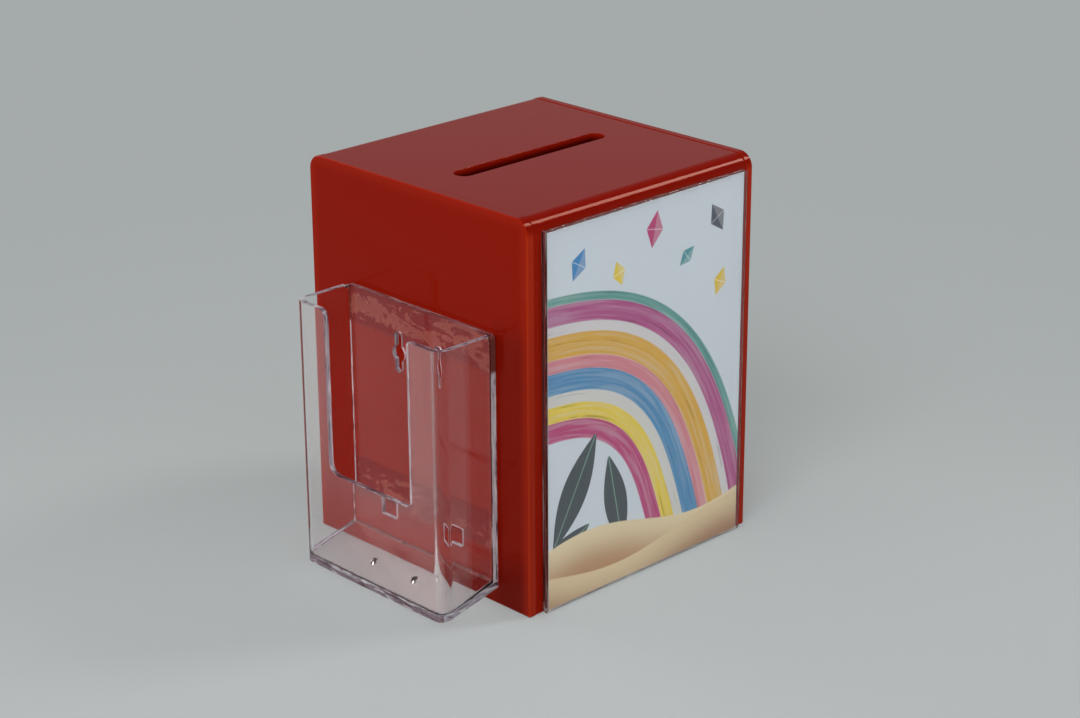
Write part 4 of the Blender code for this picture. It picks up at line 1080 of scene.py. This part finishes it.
def make_bolt(name, body):
    low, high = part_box(name)
    head = (high[0] - low[0]) / 2
    seat = high[1] - BOLT_HEAD_HEIGHT
    rim = seat + BOLT_RIM
    profile = [(0.0, low[1]), (BOLT_RADIUS, low[1]), (BOLT_RADIUS, seat), (head, seat)]
    dome = arc((0.0, 0.0), 1.0, 0, 90, 6)
    profile += [(head * across, rim + (high[1] - rim) * up) for across, up in dome]
    bolt = turned(f"{name}_finished", name, profile, 32)
    cut(bolt, cross_recess(name))
    soften(bolt, 0)
    finish_piece(bolt, body, "zinc_steel", [zinc], name)


def make_lock_housing():
    low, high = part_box("lock_housing")
    head = (high[0] - low[0]) / 2
    seat, floor = high[1] - LOCK_HEAD_HEIGHT, high[1] - LOCK_FACE_DEPTH
    profile = [(LOCK_FACE_BORE, floor), (LOCK_FACE_BORE, high[1] - LOCK_CHAMFER)]
    profile.append((LOCK_FACE_BORE + LOCK_CHAMFER, high[1]))
    profile += arc((head - LOCK_ROUNDING, high[1] - LOCK_ROUNDING), LOCK_ROUNDING, 90, 0, 6)
    profile += [(head, seat), (LOCK_BARREL, seat), (LOCK_BARREL, low[1]), (LOCK_BORE, low[1])]
    profile += [(LOCK_BORE, floor), (LOCK_FACE_BORE, floor)]
    housing = turned("lock_housing_finished", "lock_housing", profile, 64)
    soften(housing, 0)
    finish_piece(housing, "door", "lock_chrome", [chrome], "lock_housing")


make_lock_housing()
refined("rear_door", "door", "red_acrylic", red_door, PANEL_BREAK)
refined("base_panel", "box", "red_acrylic", red_base, PANEL_BREAK)
refined("lock_keeper", "box", "red_acrylic", red_base, PANEL_BREAK)
refined("lock_plug", "lock_core", "lock_chrome", chrome, TURNED_BREAK)
refined("key", "key", "key_steel", key_metal, STAMPED_BREAK)
refined("lock_nut", "door", "zinc_steel", zinc, LOCK_NUT_BREAK)
for name in ("lock_cam", "cam_washer", "cam_screw"):
    refined(name, "lock_core", "zinc_steel", zinc, CAM_BREAK)
for word in ("left", "right"):
    refined(f"hinge_leaf_frame_{word}", "box", "zinc_steel", zinc, STAMPED_BREAK)
    refined(f"hinge_leaf_door_{word}", "door", "zinc_steel", zinc, STAMPED_BREAK)
    refined(f"hinge_pin_{word}", "box", "zinc_steel", zinc, TURNED_BREAK)
    for carrier, body in (("frame", "box"), ("door", "door")):
        for where in ("inner", "outer"):
            make_bolt(f"{carrier}_bolt_{word}_{where}", body)
            refined(f"{carrier}_nut_{word}_{where}", body, "zinc_steel", zinc, NUT_BREAK)


# Floor, world, lamps and camera

NEAR_FLOOR = (0.434, 0.457, 0.459)
FAR_FLOOR = (0.376, 0.405, 0.401)
FLOOR_RADIUS = 9.0
FLOOR_DROP = 0.0003
FLOOR_DEPTH = (math.cos(AZIMUTH), math.cos(AZIMUTH), 0.0)
SKY_FADE = (0.05, 0.75, 1.0, 0.55)
SKY_LIGHT = 0.50
LAMP_AIM = Vector((0.0, 0.0, 0.1))


def make_floor():
    """A round pale floor. It is painted darker with depth, a painted shade away from the camera, and far from
    the box it glows instead of taking light.
    """
    bm = bmesh.new()
    bmesh.ops.create_circle(bm, cap_ends=True, segments=96, radius=FLOOR_RADIUS)
    bmesh.ops.translate(bm, verts=bm.verts, vec=(0, 0, -FLOOR_DROP))
    floor = object_from(bm, "floor")
    shade = Shade("floor")
    span = shade.vector("LENGTH", shade.place)
    depth = shade.vector("DOT_PRODUCT", shade.place, FLOOR_DEPTH)
    # Painted shade: the floor's colour darkens with depth away from the camera
    tone = shade.blend(shade.ramp(depth, -0.20, 0.26), NEAR_FLOOR, FAR_FLOOR)
    shade.set(Base_Color=tone, Roughness=0.75, Specular_IOR_Level=0.15)
    glow = shade.add("ShaderNodeEmission")
    shade.feed(glow.inputs["Color"], tone)
    mix = shade.add("ShaderNodeMixShader")
    shade.feed(mix.inputs[0], shade.ramp(span, 0.20, 0.80, 0.35, 1.0))
    shade.feed(mix.inputs[1], shade.main.outputs[0])
    shade.feed(mix.inputs[2], glow.outputs[0])
    shade.feed(shade.output.inputs["Surface"], mix.outputs[0])
    floor.data.materials.append(shade.material)


def make_world():
    """Even white light on matt surfaces, and the far floor's tone where a ray looks past the floor."""
    world = bpy.data.worlds.new("studio")
    bpy.context.scene.world = world
    world.use_nodes = True
    tree = world.node_tree
    tree.nodes.clear()
    add, link = tree.nodes.new, tree.links.new
    height = add("ShaderNodeSeparateXYZ")
    link(add("ShaderNodeTexCoord").outputs["Generated"], height.inputs[0])
    fade = add("ShaderNodeMapRange")
    for socket, value in zip(fade.inputs[1:5], SKY_FADE):
        socket.default_value = value
    link(height.outputs[2], fade.inputs[0])
    seen = add("ShaderNodeBackground")
    seen.inputs["Color"].default_value = (*FAR_FLOOR, 1.0)
    link(fade.outputs[0], seen.inputs["Strength"])
    lit = add("ShaderNodeBackground")
    lit.inputs["Color"].default_value = (1.0, 1.0, 1.0, 1.0)
    lit.inputs["Strength"].default_value = SKY_LIGHT
    path = add("ShaderNodeLightPath")
    looking = path.outputs["Is Camera Ray"]
    for ray in ("Is Glossy Ray", "Is Transmission Ray"):
        either = add("ShaderNodeMath")
        either.operation = "MAXIMUM"
        link(looking, either.inputs[0])
        link(path.outputs[ray], either.inputs[1])
        looking = either.outputs[0]
    mix = add("ShaderNodeMixShader")
    link(looking, mix.inputs[0])
    link(lit.outputs[0], mix.inputs[1])
    link(seen.outputs[0], mix.inputs[2])
    link(mix.outputs[0], add("ShaderNodeOutputWorld").inputs["Surface"])


def make_lamp(name, place, size, power):
    """A rectangular softbox turned to the middle of the box."""
    data = bpy.data.lights.new(name, "AREA")
    data.shape = "RECTANGLE"
    data.size, data.size_y = size
    data.energy = power
    lamp = bpy.data.objects.new(name, data)
    lamp.location = place
    lamp.rotation_euler = (LAMP_AIM - Vector(place)).to_track_quat("-Z", "Y").to_euler()
    bpy.context.scene.collection.objects.link(lamp)


def make_camera():
    back = Vector((
        math.sin(AZIMUTH) * math.cos(ELEVATION),
        -math.cos(AZIMUTH) * math.cos(ELEVATION),
        math.sin(ELEVATION),
    ))
    right = Vector((math.cos(AZIMUTH), math.sin(AZIMUTH), 0.0))
    up = back.cross(right)
    rolled_right = right * math.cos(ROLL) + up * math.sin(ROLL)
    rolled_up = up * math.cos(ROLL) - right * math.sin(ROLL)
    data = bpy.data.cameras.new("camera")
    data.lens = LENS
    data.sensor_fit = "HORIZONTAL"
    data.sensor_width = SENSOR
    data.clip_start = 0.01
    data.clip_end = 50.0
    camera = bpy.data.objects.new("camera", data)
    turn = Matrix((rolled_right, rolled_up, back)).transposed()
    camera.matrix_world = Matrix.Translation(CAMERA_PLACE) @ turn.to_4x4()
    bpy.context.scene.collection.objects.link(camera)
    bpy.context.scene.camera = camera


make_floor()
make_world()
make_lamp("left_softbox", (-2.50, -1.20, 2.30), (1.8, 1.8), 72.0)
make_lamp("right_softbox", (2.46, -1.38, 2.54), (0.78, 1.10), 46.0)
make_lamp("rear_fill", (-0.60, 2.70, 1.70), (1.5, 1.5), 20.0)
make_camera()
bpy.context.scene.view_settings.view_transform = "Standard"
cycles = bpy.context.scene.cycles
cycles.max_bounces = 28
cycles.transmission_bounces = 28
cycles.transparent_max_bounces = 28
